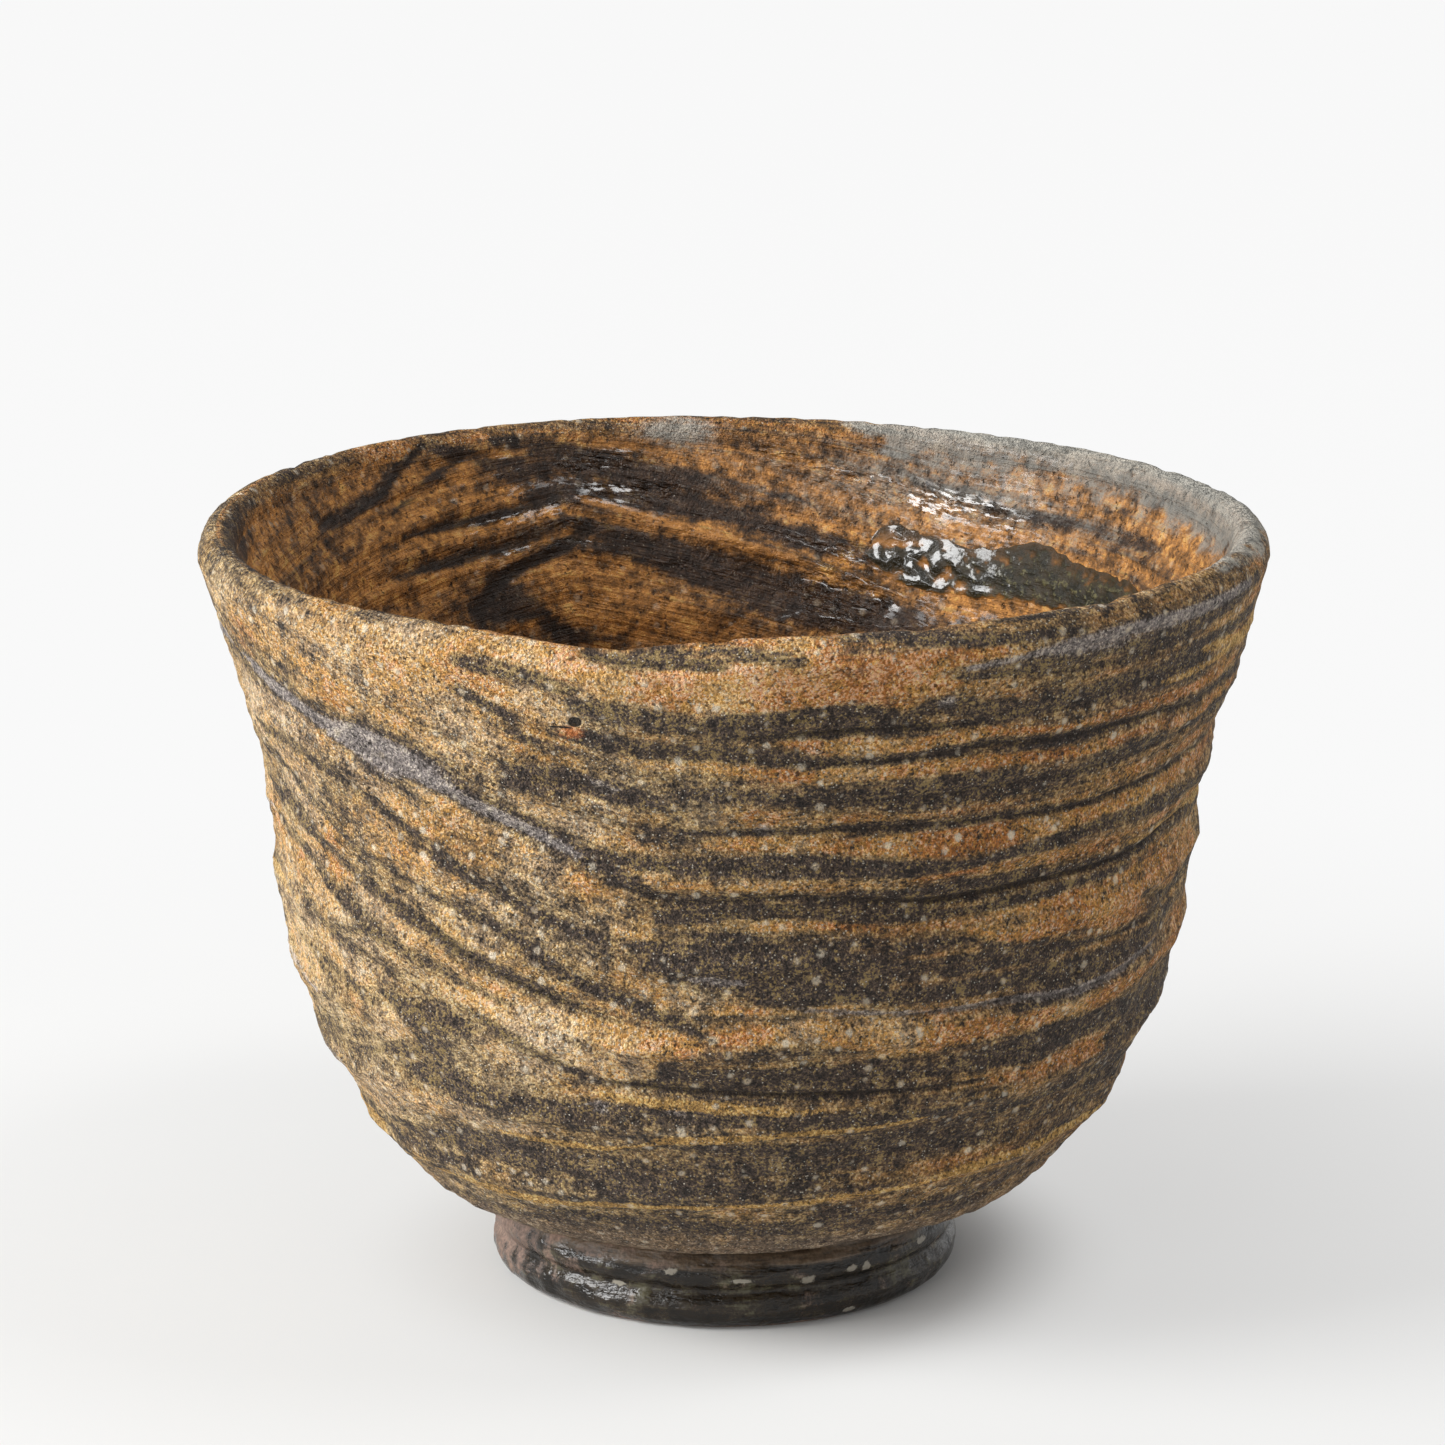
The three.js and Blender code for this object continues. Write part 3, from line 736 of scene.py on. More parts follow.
def wedge_clays(grid):
    """The two clays on the bowl's grid: the tones of the streaks, with iron over a ground that is light at
    the left and under the lip and darker round the right and low down, the warmth of the light clay, its
    palest patches, and the furrows along the streaks."""
    azimuth, tall, outer = grid.azimuth, grid.tall, grid.outer
    drift = waves(grid.flow * (1, 1, 0.3), 1.6, 5)
    swell = waves(grid.flow * (1, 1, 0.4), 1.2, 7)
    hidden = far_side_streaks(np.random.default_rng(21))
    shown = OUTSIDE_STREAKS + tuple(hidden)
    outside, furrow = lay_streaks(shown, azimuth, tall, drift, swell, OUTSIDE_FURROW)
    inside, groove = lay_streaks(INSIDE_STREAKS, azimuth, tall, drift, swell, INSIDE_FURROW)
    tones = {tone: np.where(outer, outside[tone], inside[tone]) for tone in outside}
    furrow = np.where(outer, furrow, INSIDE_DEEPER * groove)

    left = near(azimuth, tall, *LIGHT_LEFT) * smooth(tall, *LEFT_FADE)
    ground_out = 0.59 - 0.26 * left + 0.07 * waves(grid.plain, 14.0, 8)
    ground_out -= patches(azimuth, tall, LIGHT_OUTSIDE)
    ground_in = 0.43 + 0.1 * waves(grid.flow, 5.0, 9) - patches(azimuth, tall, LIGHT_INSIDE)
    ground = np.where(outer, ground_out, ground_in) + patches(azimuth, tall, DARK_LIP)
    streaks = tones["iron"] * (1 - patches(azimuth, tall, CALM_PATCHES) * outer)
    iron = 1 - (1 - ground * (1 - 0.88 * tones["tan"])) * (1 - streaks)
    tones["iron"] = iron + np.where(outer, 0.08, 0.13) * grid.lines

    bright = np.clip(patches(azimuth, tall, PALE_PATCHES), 0, 1) * outer
    right = smooth(np.cos(grid.angle - math.radians(WARM_AZIMUTH)), -0.2, 0.9) + 0 * tall
    ember = np.where(outer, 0.24 + 0.50 * right + 0.16 * waves(grid.plain, 12.0, 10), 0.85)
    ember += patches(azimuth, tall, EMBER_PATCHES) * outer
    return tones, ember, bright, furrow


def settle_ash(grid):
    """Dry ash on the lip down to a frayed line, and gloss where ash melted inside: a band and patches."""
    azimuth, tall, outer = grid.azimuth, grid.tall, grid.outer
    fray = 0.6 * waves(grid.plain, 4.0, 11)
    ash_in = smooth(tall - level_at(azimuth, ASH_INSIDE) + fray, -2.4, 2.0)
    ash_out = smooth(tall - level_at(azimuth, ASH_OUTSIDE) + fray, -1.2, 2.2)
    ash = np.where(outer, ash_out, ash_in) + patches(azimuth, tall, ASH_PATCHES) * ~outer
    band = np.exp(-(((tall - level_at(azimuth, WET_LINE)) / 1.4) ** 2))
    gloss = 1.1 * band * smooth(azimuth, 42, 54) * (1 - smooth(azimuth, 82, 92))
    gloss = np.clip(gloss + patches(azimuth, tall, WET_PATCHES), 0, 1) * ~outer
    return np.clip(ash, 0, 1), gloss


def bowl_relief(size, glass, grid, furrow, gloss):
    """How far the bowl's wall stands out from its plain profile: finger marks, low swellings, unevenness and
    turning lines, less the furrows and the fold at the nick, with ripples of melted ash. It fades to nothing
    on the floor and under the run of glass, sand lies over all of it, and at the lip it stays inside."""
    azimuth, tall, outer, height = grid.azimuth, grid.tall, grid.outer, grid.height
    on_wall = smooth(grid.radius, size.floor_radius, size.base_radius)
    below_lip = 1 - smooth(height, size.waist_height, size.rim_height - size.lip_drop)
    at_lip = smooth(height, size.rim_height - 14 * MM, size.rim_height - 2 * MM)
    on_lip = smooth(height, size.rim_height - 5 * MM, size.rim_height - 1 * MM)
    bed = near(azimuth, tall, BED_AZIMUTH, glass.run_level / MM, *BED_HALF_WIDTHS)
    bed = smooth(bed, 0.15, 0.5) * ~outer

    marks = finger_marks(size, grid.angle, height) * below_lip
    marks = marks * (1 - 0.6 * outer * near(azimuth, tall, *SMOOTHED_LEFT))
    swelling = patches(azimuth, tall, SWELLINGS) * outer
    fold = smooth(tall - level_at(azimuth, FOLD_LINE), 0, 0.7) * outer
    fold = fold * smooth(azimuth, -112, -107) * (1 - smooth(azimuth, -99, -84))
    ripple = gloss * waves(grid.flow * (4, 4, 1), 3.0, 15)
    combed = size.comb * grid.lines * (1 - on_lip) * np.where(outer, 0.42, 1.6)
    uneven = size.lump * waves(grid.plain, 17.0, 12) * (1 - 0.6 * at_lip) + combed
    grains = 0.7 * waves(grid.plain, 2.6, 13) + 0.7 * waves(grid.plain, 3.8, 14)
    sand = size.sand * grains * (1 + 0.5 * on_lip)

    relief = marks + uneven + (swelling - furrow - FOLD_DEPTH * fold + RIPPLE_DEPTH * ripple) * MM
    relief = relief * (1 - bed) * on_wall + sand * (0.35 + 0.65 * on_wall)
    return np.where(relief > 0, relief * (1 - 0.7 * at_lip), relief) - LIP_SETBACK * MM * at_lip


def throw_bowl(size, glass):
    """The bowl's mesh with its clays and ash painted on it. Each point of the turned profile moves along the
    profile's normal by the relief, and the lip rises and dips."""
    grid = bowl_grid(size)
    azimuth, tall, outer = grid.azimuth, grid.tall, grid.outer
    tones, ember, bright, furrow = wedge_clays(grid)
    ash, gloss = settle_ash(grid)
    inner = smooth(TOASTED_LEVEL - tall, -0.5, 3.0) * ~outer
    ridge = np.clip(1 - np.abs(tall - level_at(azimuth, RIDGE_LINE[::-1])) / RIDGE_HALF, 0, 1) * ~outer
    ridge = ridge * smooth(azimuth, 66, 84) * (1 - smooth(azimuth, 110, 114.5))
    furrow = furrow * (1 - 0.5 * outer * near(azimuth, tall, *SHALLOW_LEFT))
    relief = bowl_relief(size, glass, grid, furrow, gloss)

    run = np.gradient(grid.profile, axis=0)
    run /= np.linalg.norm(run, axis=1)[:, None]
    lean = FOOT_CENTRE * (1 - smooth(grid.height, size.seat_height, size.hip_height))
    points = turned(grid.radius + relief * run[:, 1:], grid.level - relief * run[:, :1], grid.angle, lean)
    poles = [(lean[0, 0], 0, grid.profile[0, 1]), (0, 0, grid.profile[-1, 1])]
    mesh = skin("thrown_bowl", points, poles)
    paint(mesh, "marbling", tones["iron"], tones["smoke"], tones["gold"], ember)
    paint(mesh, "kiln", ash, gloss, inner, grid.layer / LAYER_SCALE)
    paint(mesh, "turning", np.clip(furrow, 0, 1), bright, ridge)
    return mesh


def foot_line(size):
    """The outside of the foot ring: a smooth curve from its standing edge over two beads to its neck."""
    return smooth_through((
        (size.radius - size.edge - 0.35 * MM, 0),
        (size.radius - size.edge + 0.25 * MM, 0.4 * MM),
        (size.radius, size.bead_low),
        (size.radius - size.groove_depth, size.groove_height),
        (size.radius, size.bead_high),
        (size.neck_radius, size.neck_height),
        (size.neck_radius, size.height),
    ), FOOT_CURVE)


def round_angles():
    """The angles of the columns of a piece of the foot."""
    return np.linspace(-np.pi, np.pi, RING_COLUMNS, endpoint=False)[None, :]


def turn_foot(size):
    """The foot ring: its outside line, flat top, bore that widens downwards and flat standing face, turned
    round the foot's own axis, with a little unevenness that leaves the standing face flat."""
    outside = evenly(foot_line(size), 40)
    top = np.array([(size.bore, size.height)])
    bore = np.array([(size.bore, size.height * 0.5), (size.bore + size.flare, 0.5 * MM)])
    mouth = np.array([(size.bore + size.flare + 0.5 * MM, 0.0)])
    line = np.concatenate((outside, top, bore, mouth, outside[:1]))
    ring = evenly(line, FOOT_ROWS + 1)[:-1]
    angle = round_angles()
    points = turned(ring[:, :1], ring[:, 1:], angle, size.centre)
    uneven = 0.05 * MM * waves(points / MM, 4.0, 31) * smooth(ring[:, 1:], 0.2 * MM, 1.5 * MM)
    points = turned(ring[:, :1] + uneven, ring[:, 1:], angle, size.centre)
    return skin("turned_foot", points)


def coat_foot(size, glass):
    """The glass on the foot: the foot's outside line, thick in the middle and thin at both edges, closed at
    the clay. Its edges wander up and down and it runs in low lumps."""
    angle = round_angles()
    circle = turned(size.radius / MM, 0.0, angle)
    low = glass.bare_edge + 0.05 * MM * waves(circle, 9.0, 41) + 0.03 * MM * waves(circle, 3.0, 42)
    high = size.height - glass.top_margin + 0.25 * MM * waves(circle, 8.0, 43)
    out = np.linspace(0, 1, COAT_ROWS)[:, None]
    back = np.linspace(1, 0, COAT_BACK_ROWS)[:, None]
    share = np.concatenate((out, back))
    height = low + (high - low) * share
    line = foot_line(size)
    clay = np.interp(height, line[:, 1], line[:, 0])
    plain = turned(clay, height, angle) / MM
    full = np.sqrt(np.clip(1 - (2 * share - 1) ** 6, 0, 1))
    lumps = 1 + 0.07 * waves(plain, 4.5, 44) + 0.05 * waves(plain * (0.15, 0.15, 1), 1.6, 45)
    outside = np.arange(len(share))[:, None] < COAT_ROWS
    groove = np.exp(-(((height - size.groove_height) / (0.7 * MM)) ** 2))
    thick = glass.coat * np.clip(full * lumps * (1 - 0.5 * groove), 0.06, 1.25)
    thick = np.where(outside, thick, 0.02 * MM)
    mesh = skin("foot_glaze_coat", turned(clay + thick, height, angle, size.centre))
    azimuth = np.degrees(angle)
    bare = patches(azimuth, height / MM, BARE_PATCHES)
    bare = np.clip(bare + 0.2 * waves(plain, 3.0, 46), 0, 1)
    crawled = sum(near(azimuth, height / MM, *spot) for spot in CRAWLED)
    paint(mesh, "kiln", bare, crawled)
    return mesh


def smear_slip(size, bowl):
    """The slip: a thin washer between foot and bowl whose outside is a hollow fillet, smeared up under the
    bowl and down the neck with a wandering edge."""
    neck = size.neck_radius
    top = bowl.seat_height
    reach = size.smear
    line = np.array([
        (size.bore + 0.8 * MM, size.height),
        (neck - 0.6 * MM, size.height),
        (neck - 0.1 * MM, size.height - 0.5 * MM),
        (neck + 0.35 * MM, size.height - 1.0 * MM),
        (neck + 0.8 * MM, size.height - 0.55 * MM),
        (neck + 0.5 * reach, size.height + 0.2 * MM),
        (neck + reach, top + 0.1 * MM),
        (neck + reach + 1.4 * MM, top + 0.62 * MM),
        (neck + reach + 0.6 * MM, top + 0.75 * MM),
        (neck + 0.5 * reach, top + 0.3 * MM),
        (size.bore + 0.8 * MM, top),
    ])
    ring = evenly(np.concatenate((line, line[:1])), SLIP_ROWS + 1)[:-1]
    angle = round_angles()
    plain = turned(ring[:, :1], ring[:, 1:], angle) / MM
    loose = smooth(ring[:, :1], neck, neck + MM)
    uneven = loose * MM * (0.16 * waves(plain, 5.0, 51) + 0.08 * waves(plain, 2.2, 52))
    points = turned(ring[:, :1] + uneven, ring[:, 1:] - 0.5 * uneven, angle, size.centre)
    return skin("slip_fillet", points)


def pour_run(size, bowl):
    """The run of glass that fills a furrow of the inside wall: a thin lens between its traced top and bottom
    lines, which wander a little. Its front is crinkled where the glass is wettest, at the left, and its
    edges and back sink into the clay."""
    top = smooth_through(RUN_TOP[::-1], RUN_CURVE)
    bottom = smooth_through(RUN_BOTTOM[::-1], RUN_CURVE)
    along = np.linspace(-1, 1, RUN_ROWS + 2)[1:-1, None]
    azimuth = np.interp(-np.sin(along * np.pi / 2), (-1, 1), (top[0, 0], top[-1, 0]))
    wander = waves(turned(bowl.rim_radius / MM, 0.0, np.radians(azimuth)), 3.5, 61)
    full = np.sqrt(1 - along**2)
    upper = np.interp(azimuth, top[:, 0], top[:, 1]) + 0.15 * wander * full
    lower = np.interp(azimuth, bottom[:, 0], bottom[:, 1]) - 0.12 * wander * full
    turn = np.linspace(0, 2 * np.pi, RUN_COLUMNS, endpoint=False)[None, :]
    height = ((upper + lower) / 2 + (upper - lower) / 2 * np.cos(turn)) * MM
    angle = np.radians(azimuth)
    inner = bowl_lines(bowl)[1][::-1]
    clay = np.interp(height, inner[:, 1], inner[:, 0])
    plain = turned(clay, height, angle) / MM
    wet = smooth(azimuth, 42, 64) + 0 * turn
    crinkle = 0.14 * wet * waves(plain * (1, 1, 1.4), 3.4, 63) + 0.03 * waves(plain, 1.6, 64)
    swell = np.clip(np.sin(turn), 0, 1)
    lens = size.run_thickness * swell**1.1 * (1 - 0.25 * np.cos(turn))
    front = (lens + MM * crinkle * swell) * full**0.5
    back = 0.35 * MM * np.sin(turn)
    deep = np.where(np.sin(turn) > 0, np.maximum(front, 0.05 * MM * swell), back)
    points = turned(clay - deep, height, angle)
    tips = np.stack((points[0].mean(0), points[-1].mean(0)))
    mesh = skin("wall_glaze_run", points, tips)
    share = (1 + np.cos(turn)) / 2 + 0 * along
    edge = smooth(azimuth, 44, 54) * np.exp(-(((share - 0.14) / 0.1) ** 2))
    paint(mesh, "kiln", np.clip(deep / size.run_thickness, 0, 1), share, np.maximum(wet, edge))
    return mesh


def shade(colour, share):
    """A darker or lighter colour."""
    return tuple(min(part * share, 1.0) for part in colour)


class Wire:
    """An output socket in a tree of shader nodes. Arithmetic with wires and numbers adds Math nodes."""

    def __init__(self, tree, socket=None):
        self.tree = tree
        self.socket = socket

    def node(self, kind, settings=None, sockets=None, output=0):
        """Adds a node of a type, sets its settings, fills or links its sockets, and returns an output."""
        made = self.tree.nodes.new(kind)
        for name, value in (settings or {}).items():
            if name == "stops":
                while len(made.color_ramp.elements) < len(value):
                    made.color_ramp.elements.new(0.5)
                for stop, (place, colour) in zip(made.color_ramp.elements, value):
                    stop.position = place
                    stop.color = (*colour, 1)
            else:
                setattr(made, name, value)
        for name, value in (sockets or {}).items():
            socket = made.inputs[name]
            if isinstance(value, Wire):
                self.tree.links.new(value.socket, socket)
            elif socket.type == "RGBA":
                socket.default_value = (*tuple(value)[:3], 1)
            else:
                socket.default_value = value
        return Wire(self.tree, made.outputs[output] if len(made.outputs) else None)

    def out(self, name):
        """Another output of the same node."""
        return Wire(self.tree, self.socket.node.outputs[name])

    def maths(self, operation, *values):
        """A Math node on wires and numbers."""
        return self.node("ShaderNodeMath", {"operation": operation}, dict(enumerate(values)))

    def __add__(self, other):
        return self.maths("ADD", self, other)

    def __sub__(self, other):
        return self.maths("SUBTRACT", self, other)

    def __rsub__(self, other):
        return self.maths("SUBTRACT", other, self)

    def __mul__(self, other):
        return self.maths("MULTIPLY", self, other)

    __radd__ = __add__
    __rmul__ = __mul__

    def step(self, low, high):
        """An S-shaped rise from 0 at low to 1 at high."""
        settings = {"interpolation_type": "SMOOTHSTEP"}
        return self.node("ShaderNodeMapRange", settings, {0: self, 1: low, 2: high})

    def ramp(self, *stops):
        """The number as a colour on a ramp."""
        return self.node("ShaderNodeValToRGB", {"stops": stops}, {0: self})

    def shades(self, colour, *stops):
        """The number as a darker or lighter form of one colour, by stops of place and share."""
        return self.ramp(*((place, shade(colour, share)) for place, share in stops))

    def toward(self, colour, share):
        """This colour moved toward another by a share."""
        return self.node("ShaderNodeMix", {"data_type": "RGBA"}, {0: share, 6: self, 7: colour}, 2)

    def vector(self, operation, other=None, output=0):
        """A Vector Math node on this vector, and another where the operation takes two."""
        sockets = {0: self} if other is None else {0: self, 1: other}
        return self.node("ShaderNodeVectorMath", {"operation": operation}, sockets, output)

    def scaled(self, x, y, z):
        """This vector with its three parts multiplied."""
        return self.vector("MULTIPLY", (x, y, z))

    def noise(self, scale, detail=2.0, roughness=0.5):
        """Soft noise at this place, from 0 to 1."""
        sockets = {"Vector": self, "Scale": scale, "Detail": detail, "Roughness": roughness}
        return self.node("ShaderNodeTexNoise", {}, sockets)

    def swing(self, scale, detail=2.0, roughness=0.5, reach=1.0):
        """Soft noise at this place, to either side of 0 by the reach at most."""
        return (self.noise(scale, detail, roughness) - 0.5) * (2 * reach)

    def grains(self, scale):
        """Cells of grain at this place: the distance from a grain's middle, and a random colour for each."""
        return self.node("ShaderNodeTexVoronoi", {}, {"Vector": self, "Scale": scale})

    def parts(self):
        """Red, green and blue of a colour."""
        split = self.node("ShaderNodeSeparateColor", {}, {0: self})
        return split, split.out("Green"), split.out("Blue")

    def axes(self):
        """The three parts of a vector."""
        split = self.node("ShaderNodeSeparateXYZ", {}, {0: self})
        return split, split.out("Y"), split.out("Z")

    def painted(self, name):
        """A layer of colour that is painted on the piece's points."""
        return self.node("ShaderNodeAttribute", {"attribute_name": name}, output="Color")

    def bump(self, strength, distance):
        """A normal from this number as a height, with the strength and the distance of a unit in metres."""
        sockets = {"Strength": strength, "Distance": distance, "Height": self}
        return self.node("ShaderNodeBump", {}, sockets)


def new_material(name):
    """A material with an empty tree, and its place in mm on the piece's own axes."""
    material = bpy.data.materials.new(name)
    material.use_nodes = True
    material.node_tree.nodes.clear()
    start = Wire(material.node_tree)
    place = start.node("ShaderNodeTexCoord", output="Object").scaled(1 / MM, 1 / MM, 1 / MM)
    return material, start, place


def finish_material(start, sockets):
    """Closes a tree with a Principled shader that takes the given sockets."""
    shader = start.node("ShaderNodeBsdfPrincipled", {}, sockets)
    start.node("ShaderNodeOutputMaterial", {}, {"Surface": shader})


def marbled_clay(colours):
    """The two clays, sandy tan and iron dark, mixed along the painted streaks and by their own grit, with
    feldspar, painted shade in pits, furrows and the pinhole, smoke, lines and smears of slip, toasted
    inside, dry ash on the lip and gloss where ash melted."""
    material, start, place = new_material("marbled clay")
    marbling = start.painted("marbling")
    iron, smoke, gold = marbling.parts()
    ember = marbling.out("Alpha")
    kiln = start.painted("kiln")
    ash, gloss, inner = kiln.parts()
    layer = kiln.out("Alpha") * LAYER_SCALE
    furrow, bright, ridge = start.painted("turning").parts()
    x, y, z = place.axes()
    streamed = start.node("ShaderNodeCombineXYZ", {}, {0: x * 0.05, 1: y * 0.05, 2: layer})
    drawn = start.node("ShaderNodeCombineXYZ", {}, {0: x * 0.3, 1: y * 0.3, 2: layer})

    grit = place.swing(2.2, 3, 0.65, 1.2)
    patch = place.swing(0.35, 4, 0.6)
    blush = place.swing(0.85, 3, 0.6)
    streak = streamed.swing(0.9, 5, 0.7)
    thread = streamed.swing(2.8, 2, 0.6)
    speck = place.swing(3.8, 1)
    sand = place.grains(4.0)
    tone, hue, luck = sand.out("Color").parts()
    dry = 1 - inner * 0.72

    loose = streak * 0.7 + thread * 0.3 - (grit * 0.14 + (tone - 0.5) * 0.1) * dry
    loose = loose - patch * 0.4 - blush * 0.28
    dark = (iron + loose * (1 - iron.step(0.7, 0.95) * 0.55)).step(0.1, 0.92) * 0.97
    body = 0.57 - ember * 0.03 + (grit * 0.46 + speck * 0.5 + (hue - 0.5) * 0.42) * dry
    body = body + patch * 0.5 + blush * 0.54
    body = body + bright * 0.25 + inner * (streak * 0.4 + thread * 0.28)

    def clay(colour):
        """A clay of this colour by its grain, from dark pits to grains paled by feldspar."""
        palest = (0.72 * min(2.3 * part, 1) + 0.28 * white for part, white in zip(colour, colours.feldspar))
        return body.ramp(
            (0.06, shade(colours.dark, 0.7)),
            (0.34, shade(colour, 0.74)),
            (0.56, shade(colour, 1.16)),
            (0.74, shade(colour, 1.6)),
            (0.94, tuple(palest)),
        )

    gold_clay = clay(colours.gold)
    light = clay(colours.olive).toward(clay(colours.tan), (ember + patch * 0.8).step(0.0, 0.6))
    light = light.toward(clay(colours.orange), (ember + blush * 0.9 + patch * 0.7).step(0.3, 0.9))
    light = light.toward(clay(colours.grey), (luck + patch * 0.4).step(0.55, 0.95) * (0.72 - ember * 0.4))
    light = light.toward(gold_clay, (tone + blush * 0.5).step(0.65, 1.05) * 0.6)
    light = light.toward(clay(colours.ochre), iron.step(0.28, 0.6) * 0.5)
    toasted = body.ramp(
        (0.2, shade(colours.inner, 0.2)),
        (0.4, shade(colours.inner, 0.62)),
        (0.54, colours.inner),
        (0.68, shade(colours.inner, 1.5)),
        (0.86, shade(colours.gold, 1.2)),
    )
    light = light.toward(toasted, inner * 0.92)
    iron_clay = (body + (tone - 0.5) * 0.15).ramp(
        (0.18, shade(colours.dark, 0.25)),
        (0.48, shade(colours.dark, 0.8)),
        (0.68, shade(colours.dark, 1.8)),
        (0.86, shade(colours.ochre, 0.9)),
    )
    soot = body.shades(colours.soot, (0.25, 0.5), (0.5, 1.0), (0.75, 2.5))
    colour = light.toward(iron_clay.toward(soot, inner * 0.85), dark)
    bloom = (smoke + grit * 0.4 + (tone - 0.5) * 0.3 + streak * 0.3).step(0.35, 0.95)
    colour = colour.toward(clay(colours.smoke), bloom * 0.8)
    line = (gold + (grit * 0.4 + (tone - 0.5) * 0.3 + streak * 0.4) * (1 - inner * 0.8)).step(0.3, 0.8)
    colour = colour.toward(gold_clay.toward(shade(colours.inner, 1.5), inner * 0.8), line * 0.65)
    crest = (ridge + thread * 0.1 + blush * 0.12).step(0.58, 0.88)
    colour = colour.toward(shade(colours.inner, 1.3), crest * 0.85)
    smear = (z + patch * 3 + streak * 3).step(17.0, 13.5)
    colour = colour.toward(clay(colours.slip), smear * 0.8)

    crumbs = place.grains(0.55)
    pick, size, _ = crumbs.out("Color").parts()
    chip = (crumbs + grit * 0.12 + speck * 0.12 - size * 0.16).step(0.2, 0.0) * pick.step(0.52, 0.56)
    chip_tone = gold_clay.toward(colours.feldspar, 0.35 + pick * 0.5)
    colour = colour.toward(chip_tone, chip * (1 - dark * 0.35) * dry * 0.85)
    spark = luck.step(0.93, 0.95) * sand.step(0.5, 0.2)
    colour = colour.toward(colours.feldspar, spark * dry * 0.65)
    # Painted shade in the pits between the grains and in the furrows along the streaks
    pits = (place.noise(1.2, 2) + grit * 0.2).step(0.36, 0.27)
    furrow_shade = (furrow + grit * 0.1 + thread * 0.1).step(0.1, 0.34)
    colour = colour.toward(colours.pit, start.maths("MAXIMUM", pits * 0.7, furrow_shade * 0.8))

    def mark(azimuth, height, wide, tall):
        """How far a place is from a small round mark on the wall, as a share of the mark's size."""
        turn = math.radians(azimuth)
        middle = (MARK_RADIUS * math.cos(turn), MARK_RADIUS * math.sin(turn), height)
        away = place.vector("SUBTRACT", middle).scaled(1 / wide, 0.2 / wide, 1 / tall)
        return away.vector("LENGTH", output="Value")

    colour = colour.toward(clay(colours.burnt), (mark(*BURNT_FLECK) + grit * 0.9).step(1.4, 0.5) * 0.75)
    # Painted shade: the pinhole and the crack beside it are painted near black, as the shade inside them
    crack = (mark(*CRACK) + blush * 0.5).step(1.1, 0.9)
    shaded_hole = start.maths("MAXIMUM", mark(*PINHOLE).step(1.1, 0.9), crack)
    colour = colour.toward(shade(colours.pit, 0.3), shaded_hole * 0.95)

    dust = (ash + patch * 0.5 + grit * 0.4 + streak * 0.3).step(0.3, 1.0)
    ash_tone = body.shades(colours.ash, (0.25, 0.6), (0.5, 1.0), (0.75, 1.35))
    ash_tone = ash_tone.toward(shade(colours.ash, 0.32), inner * 0.75)
    colour = colour.toward(ash_tone, dust * 0.85)

    melt = (gloss + streak * 0.6 + patch * 0.25).step(0.2, 0.75)
    specks = (drawn.noise(2.3, 3, 0.65) + thread * 0.1).step(0.47, 0.57)
    height = grit * 0.85 + speck * 0.5 + (tone - 0.5) * 0.3 - sand * 0.6 + chip * 0.4
    height = height * dry + streak * 0.5 + thread * 0.35 - pits * 0.7 - shaded_hole
    height = height - inner * (1 - melt) * grit * 0.05 + melt * drawn.swing(1.8, 2) * 2.2
    finish_material(start, {
        "Base Color": colour,
        "Roughness": 0.86 - dark * 0.1 + (tone - 0.5) * 0.2 - melt * 0.5 - inner * 0.2,
        "Normal": height.bump(0.9, 0.6 * MM),
        "Coat Weight": melt * specks + inner * specks * 0.22,
        "Coat Roughness": 0.12,
        "Specular IOR Level": 0.35,
    })
    return material


def smeared_slip(colours):
    """Brown slip, drawn round by the potter's finger, with sand in it."""
    material, start, place = new_material("smeared slip")
    drawn = place.scaled(0.12, 0.12, 1).noise(1.4, 3, 0.6)
    grain = place.grains(2.4)
    tone = grain.out("Color").parts()[0]
    body = drawn * 0.55 + tone * 0.3 + place.noise(0.4) * 0.2
    colour = body.ramp(
        (0.25, shade(colours.slip, 0.3)),
        (0.5, colours.slip),
        (0.72, shade(colours.slip, 1.6)),
        (0.9, shade(colours.tan, 0.9)),
    )
    finish_material(start, {
        "Base Color": colour,
        "Roughness": 0.75 + (tone - 0.5) * 0.2,
        "Normal": (drawn + tone * 0.4 - grain * 0.6).bump(0.6, 0.2 * MM),
    })
    return material


def bare_foot(colours):
    """Smooth dark stoneware with fine turning lines and a few grains."""
    material, start, place = new_material("bare foot clay")
    lines = place.scaled(0.1, 0.1, 1).noise(2.2, 2)
    tone = place.grains(2.6).out("Color").parts()[0]
    body = lines * 0.4 + tone * 0.3 + place.noise(0.5, 3) * 0.35
    finish_material(start, {
        "Base Color": body.shades(colours.foot, (0.25, 0.35), (0.52, 1.0), (0.75, 1.5)),
        "Roughness": 0.8 - lines * 0.15,
        "Normal": (lines + tone * 0.4).bump(0.5, 0.15 * MM),
    })
    return material


